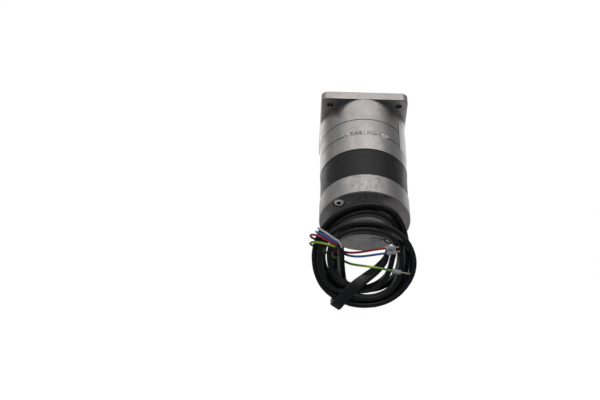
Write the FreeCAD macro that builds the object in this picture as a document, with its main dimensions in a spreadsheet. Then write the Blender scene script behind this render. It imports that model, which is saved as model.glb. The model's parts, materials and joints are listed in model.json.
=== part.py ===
import FreeCAD, Part

import math
import os

import Sketcher

# Gearmotor with a coaxial two-stage planetary gearbox, in millimetres.
# The origin is the centre of the flange's mounting face and the shaft axis is +Y.
# Everything behind the flange lies at negative Y. A "depth" in the sheet is -Y.

Vector = FreeCAD.Vector
Y_AXIS = Vector(0, 1, 0)
doc = FreeCAD.newDocument("Gearmotor")


# ---------------------------------------------------------------- size sheet
DRIVING = [
    # outer casing
    ("flange_side", 75.6),
    ("flange_thickness", 8.85),
    ("flange_corner", 6),
    ("flange_hole_offset", 30),
    ("flange_hole_radius", 2.75),
    ("flange_edge", 0.8),
    ("joint_chamfer", 0.3),
    ("cap_edge", 0.7),
    ("barrel_radius", 37.5),
    ("gearbox_joint", 33.15),
    ("shield_joint", 50.3),
    ("stack_front", 67.9),
    ("stack_length", 29.9),
    ("stack_radius", 37.2),
    ("cap_length", 19.3),
    ("cap_front_radius", 37.9),
    ("cap_rear_radius", 38.15),
    ("cap_disc_radius", 23.6),
    ("cap_disc_step", 0.6),
    ("spigot_radius", 28),
    ("spigot_front", -2.5),
    # output shaft
    ("shaft_radius", 7),
    ("shaft_front", -28),
    ("shaft_chamfer", 0.8),
    ("shaft_shoulder", -3),
    ("shaft_flat_height", 6),
    ("shaft_flat_cut", 4),
    ("shaft_flat_margin", 2),
    ("shaft_flat_front", -28),
    ("shaft_flat_length", 12),
    ("journal_radius", 7.5),
    ("shaft_groove_front", 2.85),
    ("shaft_groove_rear", 3.95),
    ("shaft_groove_radius", 7.1),
    ("shaft_circlip_front", 2.95),
    ("shaft_circlip_radius", 9.2),
    # output bearings
    ("output_race_radius", 16),
    ("output_bearing_width", 9),
    ("output_bearing_front", 4),
    ("output_bearing_gap", 4),
    ("output_ball_circle", 11.75),
    ("output_inner_shoulder", 10.2),
    ("output_outer_shoulder", 13.3),
    ("output_balls", 9),
    ("ball_radius", 2.38),
    ("ball_clearance", 0.05),
    ("cage_half_width", 3),
    ("cage_half_thickness", 0.5),
    # rotor bearings
    ("rotor_journal_radius", 5),
    ("rotor_race_radius", 13),
    ("rotor_bearing_width", 8),
    ("rotor_bearing_front", 55.6),
    ("rotor_rear_bearing_front", 103.6),
    ("rotor_ball_circle", 9),
    ("rotor_inner_shoulder", 7.4),
    ("rotor_outer_shoulder", 10.6),
    ("rotor_balls", 7),
    ("rotor_front_gap", 0.2),
    ("rotor_step_gap", 0.3),
    ("rotor_tail", 0.5),
    # gear train
    ("gear_module", 1),
    ("pressure_angle", 20),
    ("sun_teeth", 15),
    ("planet_teeth", 21),
    ("tooth_root_factor", 1.25),
    ("tooth_thinning", 0.06),
    ("planet_count", 3),
    ("pin_radius", 3),
    ("bush_radius", 4.5),
    ("running_gap", 0.05),
    ("slow_planet_front", 32.3),
    ("slow_planet_width", 10),
    ("slow_pin_rear", 42.8),
    ("fast_planet_front", 46.4),
    ("fast_planet_width", 6),
    ("fast_pin_rear", 52.9),
    ("slow_plate_front", 27.9),
    ("slow_plate_rear", 31.9),
    ("slow_plate_radius", 26.5),
    ("slow_hub_radius", 9.6),
    ("fast_plate_front", 43.2),
    ("fast_plate_rear", 46),
    ("fast_plate_radius", 26),
    ("slow_sun_front", 32.5),
    ("sun_spigot_radius", 5.5),
    ("fast_sun_front", 46.5),
    ("fast_sun_rear", 53.4),
    ("fast_sun_bore", 4),
    # motor inside
    ("stator_bore", 22),
    ("slot_mouth", 23),
    ("slot_bottom", 28.3),
    ("slot_width", 3.6),
    ("slot_opening", 1.6),
    ("slot_count", 24),
    ("slot_liner", 0.2),
    ("rotor_radius", 21.7),
    ("rotor_seat_radius", 6),
    ("bar_radius", 1.3),
    ("bar_circle", 19.8),
    ("bar_count", 28),
    ("end_ring_inner", 17.2),
    ("end_ring_outer", 21.2),
    ("end_ring_length", 4.5),
    ("end_turn_length", 9.3),
    ("main_turn_inner", 22.6),
    ("main_turn_outer", 24.7),
    ("auxiliary_turn_inner", 24.9),
    ("auxiliary_turn_outer", 27.1),
    # casing inside
    ("cavity_radius", 31),
    ("lip_radius", 31.2),
    ("lip_length", 2.4),
    ("lip_gap", 0.1),
    ("carrier_cavity_radius", 28),
    ("carrier_cavity_front", 27.6),
    ("seal_seat_radius", 13),
    ("seal_seat_rear", 3),
    ("housing_lip_radius", 11),
    ("circlip_groove_front", 26.1),
    ("circlip_groove_rear", 27.4),
    ("circlip_groove_radius", 17),
    ("shield_floor", 53.6),
    ("shield_wall_rear", 57.6),
    ("shield_opening", 9.5),
    ("hub_radius", 16),
    ("front_hub_rear", 63),
    ("rear_hub_front", 104.2),
    ("cap_wall_front", 111.6),
    ("spring_seat_rear", 112.6),
    # fasteners
    ("gearbox_screw_circle", 33.8),
    ("gearbox_screw_radius", 2),
    ("gearbox_screw_hole", 2.15),
    ("gearbox_screw_end", 58.5),
    ("gearbox_thread_end", 59),
    ("gearbox_head_radius", 3.5),
    ("gearbox_head_height", 4),
    ("gearbox_head_pocket", 3.75),
    ("gearbox_pocket_depth", 4.4),
    ("gearbox_socket_reach", 1.73),
    ("gearbox_socket_depth", 2.1),
    ("motor_screw_offset", 22.6),
    ("motor_screw_radius", 2.5),
    ("motor_screw_hole", 2.75),
    ("motor_screw_front", 60.5),
    ("motor_thread_front", 60.1),
    ("motor_head_radius", 4.45),
    ("motor_head_height", 3.2),
    ("motor_head_edge", 1.8),
    ("motor_recess_reach", 2.4),
    ("motor_recess_waist", 1.85),
    ("motor_recess_valley", 1.72),
    ("motor_recess_lobe", 20),
    ("motor_recess_depth", 1.8),
    ("motor_head_pocket", 4.95),
    ("motor_pocket_depth", 3.6),
    ("boss_radius", 4.75),
    ("overcut", 0.1),
    # label and cable
    ("label_front", 23),
    ("label_rear", 53),
    ("label_thickness", 0.15),
    ("label_arc", 62),
    ("label_centre", 7),
    ("cable_width", 9),
    ("cable_thickness", 4.6),
    ("cable_gap", 0.15),
    ("cable_exit_x", -24),
    ("cable_exit_z", -8),
    ("opening_half_width", 5.5),
    ("opening_half_height", 3.2),
    ("grommet_rim", 1),
    ("grommet_edge", 0.9),
    ("cable_straight_step", 3),
    ("cable_straight_count", 6),
    ("cable_bend_x", -25.5),
    ("cable_bend_reach", 12),
    ("cable_bend_z", -8.5),
    ("coil_centre_x", 1.2),
    ("coil_centre_depth", 149),
    ("coil_centre_z", -6.6),
    ("coil_slope", 45.8),
    ("coil_radius", 39.5),
    ("coil_start", 208),
    ("coil_turns", 3.8),
    ("coil_steps_per_turn", 10),
    ("coil_inward", 1.2),
    ("coil_first_height", 1.9),
    ("coil_layer", 3.7),
    ("wire_spacing", 2.25),
    ("wire_climb", 1.6),
    ("wire_climb_steps", 3),
    ("wire_straight", 2),
    ("wire_radius", 0.85),
    ("wire_gap", 1.2),
    ("ferrule_radius", 1.7),
    ("ferrule_length", 8),
    ("ferrule_gap", 0.3),
    ("tip_radius", 0.8),
    ("tip_length", 5),
    # small internal parts
    ("seal_front", -2.3),
    ("seal_rear", 2.7),
    ("seal_lip_radius", 7.56),
    ("seal_web_rear", -1.2),
    ("seal_band_inner", 11.9),
    ("seal_lip_outer", 8.6),
    ("seal_lip_rear", 1.4),
    ("spacer_wall", 2),
    ("spring_inner", 10.9),
    ("spring_outer", 12.8),
    ("spring_dish", 0.55),
    ("spring_thickness", 0.35),
    ("circlip_arc", 325),
]

DERIVED = [
    ("zero", "0"),
    ("flange_half", "flange_side / 2"),
    ("joint_radius", "barrel_radius - joint_chamfer"),
    ("housing_chamfer_start", "gearbox_joint - joint_chamfer"),
    ("shield_chamfer_end", "shield_joint + joint_chamfer"),
    ("shield_rear_chamfer", "stack_front - joint_chamfer"),
    ("cap_edge_radius", "cap_rear_radius - cap_edge"),
    ("cap_edge_start", "cap_rear - cap_edge"),
    ("stack_rear", "stack_front + stack_length"),
    ("cap_rear", "stack_rear + cap_length"),
    ("cap_disc_face", "cap_rear + cap_disc_step"),
    ("shaft_chamfer_radius", "shaft_radius - shaft_chamfer"),
    ("shaft_chamfer_end", "shaft_front + shaft_chamfer"),
    ("output_bearing_rear", "output_bearing_front + output_bearing_width"),
    ("second_bearing_front", "output_bearing_rear + output_bearing_gap"),
    ("second_bearing_rear", "second_bearing_front + output_bearing_width"),
    ("rotor_bearing_rear", "rotor_bearing_front + rotor_bearing_width"),
    ("rotor_rear_bearing_rear", "rotor_rear_bearing_front + rotor_bearing_width"),
    ("ring_teeth", "sun_teeth + 2 * planet_teeth"),
    ("planet_circle", "gear_module * (sun_teeth + planet_teeth) / 2"),
    ("ring_tooth_root", "gear_module * ring_teeth / 2 + tooth_root_factor * gear_module"),
    ("ring_tooth_tip", "gear_module * ring_teeth / 2 - gear_module"),
    ("ring_front", "gearbox_joint - lip_length"),
    ("ring_rear", "shield_joint + lip_length"),
    ("lip_seat", "gearbox_joint - lip_length - lip_gap"),
    ("race_groove_radius", "ball_radius + ball_clearance"),
    ("bush_bore", "pin_radius + running_gap"),
    ("end_ring_front", "stack_front - end_ring_length"),
    ("end_ring_rear", "stack_rear + end_ring_length"),
    ("end_turn_front", "stack_front - end_turn_length"),
    ("end_turn_rear", "stack_rear + end_turn_length"),
    ("rotor_shaft_front", "fast_sun_front + rotor_front_gap"),
    ("rotor_shaft_step", "fast_sun_rear + rotor_step_gap"),
    ("rotor_seat_front", "rotor_bearing_rear"),
    ("rotor_seat_rear", "rotor_rear_bearing_front"),
    ("rotor_shaft_rear", "rotor_rear_bearing_rear + rotor_tail"),
    ("motor_head_seat", "cap_rear - motor_pocket_depth"),
    ("output_spacer_inner", "output_race_radius - spacer_wall"),
    ("shaft_spacer_outer", "journal_radius + spacer_wall"),
    ("spring_front_outer", "cap_wall_front + spring_dish"),
    ("spring_rear_inner", "cap_wall_front + spring_thickness"),
    ("spring_rear_outer", "cap_wall_front + spring_dish + spring_thickness"),
    ("label_radius", "barrel_radius + label_thickness"),
]

sizes = doc.addObject("Spreadsheet::Sheet", "Sizes")
for row, (name, value) in enumerate(DRIVING + DERIVED, start=1):
    sizes.set("A%d" % row, name)
    sizes.set("B%d" % row, str(value) if row <= len(DRIVING) else "=" + value)
    sizes.setAlias("B%d" % row, name)
doc.recompute()


def size(name):
    """The value that the sheet holds under this name."""
    return float(sizes.get(name))


# ---------------------------------------------------------------- building helpers
def new_body(label):
    body = doc.addObject("PartDesign::Body", label)
    body.Label = label
    return body


def origin_plane(body, role):
    return next(part for part in body.Origin.OriginFeatures if part.Role == role)


def new_sketch(body, role, depth=None):
    """A sketch on one of the body's own planes, moved back by a depth from the sheet."""
    sketch = body.newObject("Sketcher::SketchObject", body.Name + "Sketch")
    sketch.AttachmentSupport = [(origin_plane(body, role), "")]
    sketch.MapMode = "FlatFace"
    if depth:
        sketch.AttachmentOffset = FreeCAD.Placement(Vector(0, 0, size(depth)), FreeCAD.Rotation())
        sketch.setExpression(".AttachmentOffset.Base.z", "Sizes." + depth)
    return sketch


def bind(sketch, kind, geometry, point, formula, value):
    """Ties one coordinate of a sketch point to the sheet."""
    index = sketch.addConstraint(Sketcher.Constraint(kind, -1, 1, geometry, point, value))
    sketch.setExpression("Constraints[%d]" % index, formula)


def turning_profile(body, corners):
    """A closed outline of (radius, depth) names, to be turned about the shaft axis."""
    sketch = new_sketch(body, "XY_Plane")
    points = [Vector(size(radius), -size(depth), 0) for radius, depth in corners]
    count = len(points)
    for i in range(count):
        sketch.addGeometry(Part.LineSegment(points[i], points[(i + 1) % count]), False)
    for i in range(count):
        sketch.addConstraint(Sketcher.Constraint("Coincident", i, 2, (i + 1) % count, 1))
    for i, (radius, depth) in enumerate(corners):
        bind(sketch, "DistanceX", i, 1, "Sizes." + radius, points[i].x)
        bind(sketch, "DistanceY", i, 1, "-Sizes." + depth, points[i].y)
    return sketch


def turn(body, corners, angle=360):
    """Adds the solid swept by an outline around the shaft axis."""
    feature = body.newObject("PartDesign::Revolution", body.Name + "Turned")
    feature.Profile = turning_profile(body, corners)
    feature.ReferenceAxis = (feature.Profile[0], ["V_Axis"])
    feature.Angle = angle
    feature.Midplane = angle < 360
    doc.recompute()
    return feature


def bore_out(body, corners):
    """Removes the solid swept by an outline around the shaft axis."""
    before = body.Shape.Volume
    feature = body.newObject("PartDesign::Groove", body.Name + "Bored")
    feature.Profile = turning_profile(body, corners)
    feature.ReferenceAxis = (feature.Profile[0], ["V_Axis"])
    feature.Angle = 360
    doc.recompute()
    assert body.Shape.Volume < before
    return feature


def circle_sketch(body, depth, x, z, radius):
    """One circle facing along the shaft, at (x, z) formulas, with its radius from the sheet."""
    sketch = new_sketch(body, "XZ_Plane", depth)
    sketch.addGeometry(Part.Circle(Vector(x[0], z[0], 0), Vector(0, 0, 1), size(radius)), False)
    bind(sketch, "DistanceX", 0, 3, x[1], x[0])
    bind(sketch, "DistanceY", 0, 3, z[1], z[0])
    index = sketch.addConstraint(Sketcher.Constraint("Radius", 0, size(radius)))
    sketch.setExpression("Constraints[%d]" % index, "Sizes." + radius)
    return sketch


def place(name, factor=1.0):
    """A coordinate as (value, formula): a named size times a plain factor."""
    return (size(name) * factor, "Sizes.%s * %s" % (name, factor))


def pad(body, sketch, length):
    """Adds a prism from the sketch toward the rear."""
    feature = body.newObject("PartDesign::Pad", body.Name + "Pad")
    feature.Profile = sketch
    feature.Length = 1
    feature.setExpression("Length", length)
    doc.recompute()
    return feature


def pocket(body, sketch, length):
    """Removes a prism from the sketch toward the rear."""
    before = body.Shape.Volume
    feature = body.newObject("PartDesign::Pocket", body.Name + "Pocket")
    feature.Profile = sketch
    feature.Reversed = True
    feature.Length = 1
    feature.setExpression("Length", length)
    doc.recompute()
    assert body.Shape.Volume < before, body.Label
    return feature


def around(body, features, count):
    """Repeats features evenly about the shaft axis."""
    before = body.Shape.Volume
    pattern = body.newObject("PartDesign::PolarPattern", body.Name + "Pattern")
    pattern.Originals = features
    pattern.Axis = (features[0].Profile[0], ["N_Axis"])
    pattern.Angle = 360
    pattern.Occurrences = count
    body.Tip = pattern
    doc.recompute()
    assert abs(body.Shape.Volume - before) > 1e-3
    return pattern


def ring(label, inner, outer, front, rear, angle=360):
    """A plain turned ring between two radii and two depths."""
    body = new_body(label)
    turn(body, [(inner, front), (outer, front), (outer, rear), (inner, rear)], angle)
    return body


def shaped(label, shape, placement=None):
    """A sub-part whose shape is worked out in code from the sheet's sizes."""
    part = doc.addObject("Part::Feature", label)
    part.Label = label
    part.Shape = shape
    if placement:
        part.Placement = placement
    return part


def on_circle(radius, degrees, depth=0):
    """A point at an angle around the shaft axis, measured from +X toward +Z."""
    angle = math.radians(degrees)
    return Vector(radius * math.cos(angle), -depth, radius * math.sin(angle))


def together(label, shape, placements):
    """Several equal solids kept under one name."""
    copies = [shape.copy() for _ in placements]
    for copy, placement in zip(copies, placements):
        copy.Placement = placement
    return shaped(label, Part.makeCompound(copies))


def disc(radius, front, rear, x=0.0, z=0.0):
    """A cylinder along the shaft direction, from one depth to another."""
    return Part.makeCylinder(radius, rear - front, Vector(x, -rear, z), Y_AXIS)


sub_parts = []


def keep(part):
    sub_parts.append(part)
    return part


# ---------------------------------------------------------------- gearbox casing
def output_housing():
    """Square flange and front barrel in one casting, with seats for the seal and both bearings."""
    body = new_body("output_housing")
    sketch = new_sketch(body, "XZ_Plane")
    half = size("flange_half")
    corners = [(-1, -1), (1, -1), (1, 1), (-1, 1)]
    for i in range(4):
        a = corners[i]
        b = corners[(i + 1) % 4]
        sketch.addGeometry(Part.LineSegment(Vector(a[0] * half, a[1] * half, 0),
                                            Vector(b[0] * half, b[1] * half, 0)), False)
    for i in range(4):
        sketch.addConstraint(Sketcher.Constraint("Coincident", i, 2, (i + 1) % 4, 1))
    for i, (x, z) in enumerate(corners):
        bind(sketch, "DistanceX", i, 1, "Sizes.flange_half * %d" % x, x * half)
        bind(sketch, "DistanceY", i, 1, "Sizes.flange_half * %d" % z, z * half)
    plate = pad(body, sketch, "Sizes.flange_thickness")

    upright = []
    for number, edge in enumerate(plate.Shape.Edges, start=1):
        ends = [vertex.Point for vertex in edge.Vertexes]
        if len(ends) == 2 and abs(ends[0].y - ends[1].y) > 1:
            upright.append("Edge%d" % number)
    fillet = body.newObject("PartDesign::Fillet", "FlangeCorners")
    fillet.Base = (plate, upright)
    fillet.Radius = size("flange_corner")
    fillet.setExpression("Radius", "Sizes.flange_corner")
    doc.recompute()
    outline = []
    for number, edge in enumerate(fillet.Shape.Edges, start=1):
        if edge.BoundBox.YLength < 0.01:
            outline.append("Edge%d" % number)
    soften = body.newObject("PartDesign::Fillet", "FlangeEdges")
    soften.Base = (fillet, outline)
    soften.Radius = size("flange_edge")
    soften.setExpression("Radius", "Sizes.flange_edge")
    doc.recompute()

    turn(body, [("zero", "spigot_front"), ("spigot_radius", "spigot_front"),
                ("spigot_radius", "flange_thickness"), ("barrel_radius", "flange_thickness"),
                ("barrel_radius", "housing_chamfer_start"), ("joint_radius", "gearbox_joint"),
                ("zero", "gearbox_joint")])
    bore_out(body, [("zero", "shaft_front"), ("seal_seat_radius", "shaft_front"),
                    ("seal_seat_radius", "seal_seat_rear"),
                    ("housing_lip_radius", "seal_seat_rear"),
                    ("housing_lip_radius", "output_bearing_front"),
                    ("output_race_radius", "output_bearing_front"),
                    ("output_race_radius", "circlip_groove_front"),
                    ("circlip_groove_radius", "circlip_groove_front"),
                    ("circlip_groove_radius", "circlip_groove_rear"),
                    ("output_race_radius", "circlip_groove_rear"),
                    ("output_race_radius", "carrier_cavity_front"),
                    ("carrier_cavity_radius", "carrier_cavity_front"),
                    ("carrier_cavity_radius", "lip_seat"),
                    ("lip_radius", "lip_seat"),
                    ("lip_radius", "shield_joint"),
                    ("zero", "shield_joint")])
    offset = place("flange_hole_offset")
    hole = pocket(body, circle_sketch(body, None, offset, offset, "flange_hole_radius"),
                  "Sizes.flange_thickness")
    around(body, [hole], 4)
    diagonal = place("gearbox_screw_circle", round(math.sqrt(0.5), 6))
    bore = pocket(body, circle_sketch(body, None, diagonal, diagonal, "gearbox_screw_hole"),
                  "Sizes.gearbox_joint")
    around(body, [bore], 4)
    seat = pocket(body, circle_sketch(body, None, diagonal, diagonal, "gearbox_head_pocket"),
                  "Sizes.gearbox_pocket_depth")
    around(body, [seat], 4)
    return body


def tooth_flank(base, inner, outer, half_angle_at_base, side):
    """Involute curve from the larger of the base and inner radius out to the outer radius."""
    steps = 6
    start = max(base, inner)
    points = []
    for i in range(steps + 1):
        radius = start + (outer - start) * i / steps
        roll = math.acos(min(1.0, base / radius))
        angle = side * (half_angle_at_base - (math.tan(roll) - roll))
        points.append((radius, angle))
    return points


def gear_outline(teeth, inner, outer, thinning):
    """Closed outline of an external gear in the XZ plane, with a tooth centred on +X."""
    module = size("gear_module")
    pressure = math.radians(size("pressure_angle"))
    pitch_radius = module * teeth / 2
    base = pitch_radius * math.cos(pressure)
    half_at_pitch = math.pi / (2 * teeth) - thinning / 2 / pitch_radius
    half_at_base = half_at_pitch + math.tan(pressure) - pressure

    def at(radius, angle):
        return Vector(radius * math.cos(angle), 0, radius * math.sin(angle))

    edges = []
    pitch = 2 * math.pi / teeth
    for tooth in range(teeth):
        centre = tooth * pitch
        rising = [at(r, centre + a) for r, a in tooth_flank(base, inner, outer, half_at_base, -1)]
        falling = [at(r, centre + a) for r, a in tooth_flank(base, inner, outer, half_at_base, 1)]
        falling.reverse()
        root_start = at(inner, centre - half_at_base)
        root_end = at(inner, centre + half_at_base)
        if inner < base:
            edges.append(Part.makeLine(root_start, rising[0]))
        else:
            root_end = falling[-1]
        flank = Part.BSplineCurve()
        flank.interpolate(rising)
        edges.append(flank.toShape())
        edges.append(Part.Arc(rising[-1], at(outer, centre), falling[0]).toShape())
        flank = Part.BSplineCurve()
        flank.interpolate(falling)
        edges.append(flank.toShape())
        if inner < base:
            edges.append(Part.makeLine(falling[-1], root_end))
            next_start = at(inner, centre + pitch - half_at_base)
        else:
            first_radius, first_angle = tooth_flank(base, inner, outer, half_at_base, -1)[0]
            next_start = at(first_radius, centre + pitch + first_angle)
        edges.append(Part.Arc(root_end, at(inner, centre + pitch / 2), next_start).toShape())
    return Part.Wire(edges)


def gear_prism(teeth, inner, outer, thinning, length):
    """A toothed prism from depth 0 to the given length toward the rear."""
    face = Part.Face(gear_outline(teeth, inner, outer, thinning))
    return face.extrude(Vector(0, -length, 0))


def external_gear(teeth, length):
    module = size("gear_module")
    pitch_radius = module * teeth / 2
    root = pitch_radius - size("tooth_root_factor") * module
    return gear_prism(teeth, root, pitch_radius + module, size("tooth_thinning"), length)


def ring_gear():
    """Middle casing section. Both stages run in its internal teeth."""
    length = size("ring_rear") - size("ring_front")
    outside = disc(size("barrel_radius"), size("gearbox_joint"), size("shield_joint"))
    outside = outside.makeChamfer(size("joint_chamfer"), [e for e in outside.Edges if e.Closed])
    lips = disc(size("lip_radius"), size("ring_front"), size("ring_rear"))
    spaces = gear_prism(int(size("ring_teeth")), size("ring_tooth_tip"), size("ring_tooth_root"),
                        -size("tooth_thinning"), length)
    spaces.translate(Vector(0, -size("ring_front"), 0))
    shape = outside.fuse(lips).cut(spaces)
    for degrees in (45, 135, 225, 315):
        centre = on_circle(size("gearbox_screw_circle"), degrees)
        shape = shape.cut(disc(size("gearbox_screw_hole"), size("gearbox_joint"),
                               size("shield_joint"), centre.x, centre.z))
    return shaped("ring_gear", shape)


def motor_front_shield():
    """Section between gearbox and stator: front bearing hub, floor and winding space."""
    body = new_body("motor_front_shield")
    turn(body, [("zero", "shield_joint"), ("joint_radius", "shield_joint"),
                ("barrel_radius", "shield_chamfer_end"), ("barrel_radius", "shield_rear_chamfer"),
                ("joint_radius", "stack_front"), ("zero", "stack_front")])
    bore_out(body, [("zero", "gearbox_joint"), ("lip_radius", "gearbox_joint"),
                    ("lip_radius", "shield_floor"), ("shield_opening", "shield_floor"),
                    ("shield_opening", "rotor_bearing_front"),
                    ("rotor_race_radius", "rotor_bearing_front"),
                    ("rotor_race_radius", "stack_rear"), ("zero", "stack_rear")])
    bore_out(body, [("hub_radius", "shield_wall_rear"), ("cavity_radius", "shield_wall_rear"),
                    ("cavity_radius", "stack_rear"), ("rotor_race_radius", "stack_rear"),
                    ("rotor_race_radius", "front_hub_rear"), ("hub_radius", "front_hub_rear")])
    for sign in (-1, 1):
        boss = circle_sketch(body, "shield_wall_rear", place("motor_screw_offset", sign),
                             place("motor_screw_offset", -sign), "boss_radius")
        pad(body, boss, "Sizes.stack_front - Sizes.shield_wall_rear")
        hole = circle_sketch(body, "motor_thread_front", place("motor_screw_offset", sign),
                             place("motor_screw_offset", -sign), "motor_screw_radius")
        pocket(body, hole, "Sizes.stack_front - Sizes.motor_thread_front")
    diagonal = place("gearbox_screw_circle", round(math.sqrt(0.5), 6))
    thread = circle_sketch(body, "shield_joint", diagonal, diagonal, "gearbox_screw_radius")
    around(body, [pocket(body, thread, "Sizes.gearbox_thread_end - Sizes.shield_joint")], 4)
    return body


# ---------------------------------------------------------------- output shaft group
def output_shaft():
    """Flatted output shaft in one piece with the plate that carries the slow planets."""
    body = new_body("output_shaft")
    turn(body, [("zero", "shaft_front"), ("shaft_chamfer_radius", "shaft_front"),
                ("shaft_radius", "shaft_chamfer_end"), ("shaft_radius", "shaft_shoulder"),
                ("journal_radius", "shaft_shoulder"),
                ("journal_radius", "shaft_groove_front"),
                ("shaft_groove_radius", "shaft_groove_front"),
                ("shaft_groove_radius", "shaft_groove_rear"),
                ("journal_radius", "shaft_groove_rear"),
                ("journal_radius", "second_bearing_rear"),
                ("slow_hub_radius", "second_bearing_rear"),
                ("slow_hub_radius", "slow_plate_front"),
                ("slow_plate_radius", "slow_plate_front"),
                ("slow_plate_radius", "slow_plate_rear"), ("zero", "slow_plate_rear")])
    flat = new_sketch(body, "XZ_Plane", "shaft_flat_front")
    low = size("shaft_flat_height")
    high = low + size("shaft_flat_cut")
    wide = size("shaft_radius") + size("shaft_flat_margin")
    corners = [(-wide, low), (wide, low), (wide, high), (-wide, high)]
    for i in range(4):
        a = corners[i]
        b = corners[(i + 1) % 4]
        flat.addGeometry(Part.LineSegment(Vector(a[0], a[1], 0), Vector(b[0], b[1], 0)), False)
    for i in range(4):
        flat.addConstraint(Sketcher.Constraint("Coincident", i, 2, (i + 1) % 4, 1))
    for i in range(4):
        side = "-" if i in (0, 3) else "+"
        bind(flat, "DistanceX", i, 1, side + " (Sizes.shaft_radius + Sizes.shaft_flat_margin)",
             corners[i][0])
        bind(flat, "DistanceY", i, 1,
             "Sizes.shaft_flat_height" + ("" if i < 2 else " + Sizes.shaft_flat_cut"),
             corners[i][1])
    pocket(body, flat, "Sizes.shaft_flat_length")
    pin_seat = circle_sketch(body, "slow_plate_front", place("planet_circle"), place("zero"),
                             "pin_radius")
    around(body, [pocket(body, pin_seat, "Sizes.slow_plate_rear - Sizes.slow_plate_front")], 3)
    return body


def bearing(prefix, bore, inner_shoulder, outer_shoulder, outside, circle, balls, width, fronts):
    """Rings, balls and cages of two equal ball bearings that stand at the given depths."""
    half = size(width) / 2
    pitch_radius = size(circle)
    groove = Part.makeTorus(pitch_radius, size("race_groove_radius"), Vector(0, -half, 0), Y_AXIS)
    inner = disc(size(inner_shoulder), 0, size(width)).cut(disc(size(bore), 0, size(width)))
    outer = disc(size(outside), 0, size(width)).cut(disc(size(outer_shoulder), 0, size(width)))
    cage = disc(pitch_radius + size("cage_half_thickness"), half - size("cage_half_width"),
                half + size("cage_half_width"))
    cage = cage.cut(disc(pitch_radius - size("cage_half_thickness"), 0, size(width)))
    count = int(size(balls))
    ball_shapes = []
    for i in range(count):
        centre = on_circle(pitch_radius, 360 * i / count, half)
        ball_shapes.append(Part.makeSphere(size("ball_radius"), centre))
        outward = on_circle(1, 360 * i / count)
        window = Part.makeCylinder(size("race_groove_radius"), pitch_radius,
                                   centre - outward * (pitch_radius / 2), outward)
        cage = cage.cut(window)
    spots = [FreeCAD.Placement(Vector(0, -size(front), 0), FreeCAD.Rotation()) for front in fronts]
    keep(together(prefix + "_bearing_inner_rings", inner.cut(groove), spots))
    keep(together(prefix + "_bearing_outer_rings", outer.cut(groove), spots))
    keep(together(prefix + "_bearing_cages", cage, spots))
    every_ball = []
    for spot in spots:
        for shape in ball_shapes:
            ball = shape.copy()
            ball.translate(spot.Base)
            every_ball.append(ball)
    keep(shaped(prefix + "_bearing_balls", Part.makeCompound(every_ball)))


def fast_sun_gear():
    """Pinion pressed on the rotor shaft."""
    length = size("fast_sun_rear") - size("fast_sun_front")
    shape = external_gear(int(size("sun_teeth")), length)
    shape = shape.cut(disc(size("fast_sun_bore"), 0, length))
    shape.translate(Vector(0, -size("fast_sun_front"), 0))
    return shaped("fast_sun_gear", shape)


def slow_sun_gear():
    """Sun of the second stage, with a spigot pressed into the first carrier."""
    length = size("fast_plate_front") - size("slow_sun_front")
    shape = external_gear(int(size("sun_teeth")), length)
    shape.translate(Vector(0, -size("slow_sun_front"), 0))
    spigot = disc(size("sun_spigot_radius"), size("fast_plate_front"), size("fast_plate_rear"))
    return shaped("slow_sun_gear", shape.fuse(spigot))


def fast_carrier():
    """Round plate that carries the three fast planets and drives the slow sun."""
    body = ring("fast_carrier", "sun_spigot_radius", "fast_plate_radius",
                "fast_plate_front", "fast_plate_rear")
    seat = circle_sketch(body, "fast_plate_front", place("planet_circle"), place("zero"),
                         "pin_radius")
    around(body, [pocket(body, seat, "Sizes.fast_plate_rear - Sizes.fast_plate_front")], 3)
    return body


def planet_set(stage, front, width, pin_front, pin_rear):
    """Three planets with their bushes, and the pins that they turn on."""
    count = int(size("planet_count"))
    gear = external_gear(int(size("planet_teeth")), size(width))
    gear = gear.cut(disc(size("bush_radius"), 0, size(width)))
    bush = disc(size("bush_radius"), 0, size(width)).cut(disc(size("bush_bore"), 0, size(width)))
    pins = []
    for i in range(count):
        spot = on_circle(size("planet_circle"), 360 * i / count, size(front))
        placement = FreeCAD.Placement(spot, FreeCAD.Rotation())
        letter = "abc"[i]
        keep(shaped("%s_planet_%s" % (stage, letter), gear.copy(), placement))
        keep(shaped("%s_planet_bush_%s" % (stage, letter), bush.copy(), placement))
        pins.append(disc(size("pin_radius"), size(pin_front), size(pin_rear), spot.x, spot.z))
    keep(shaped(stage + "_planet_pins", Part.makeCompound(pins)))


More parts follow.
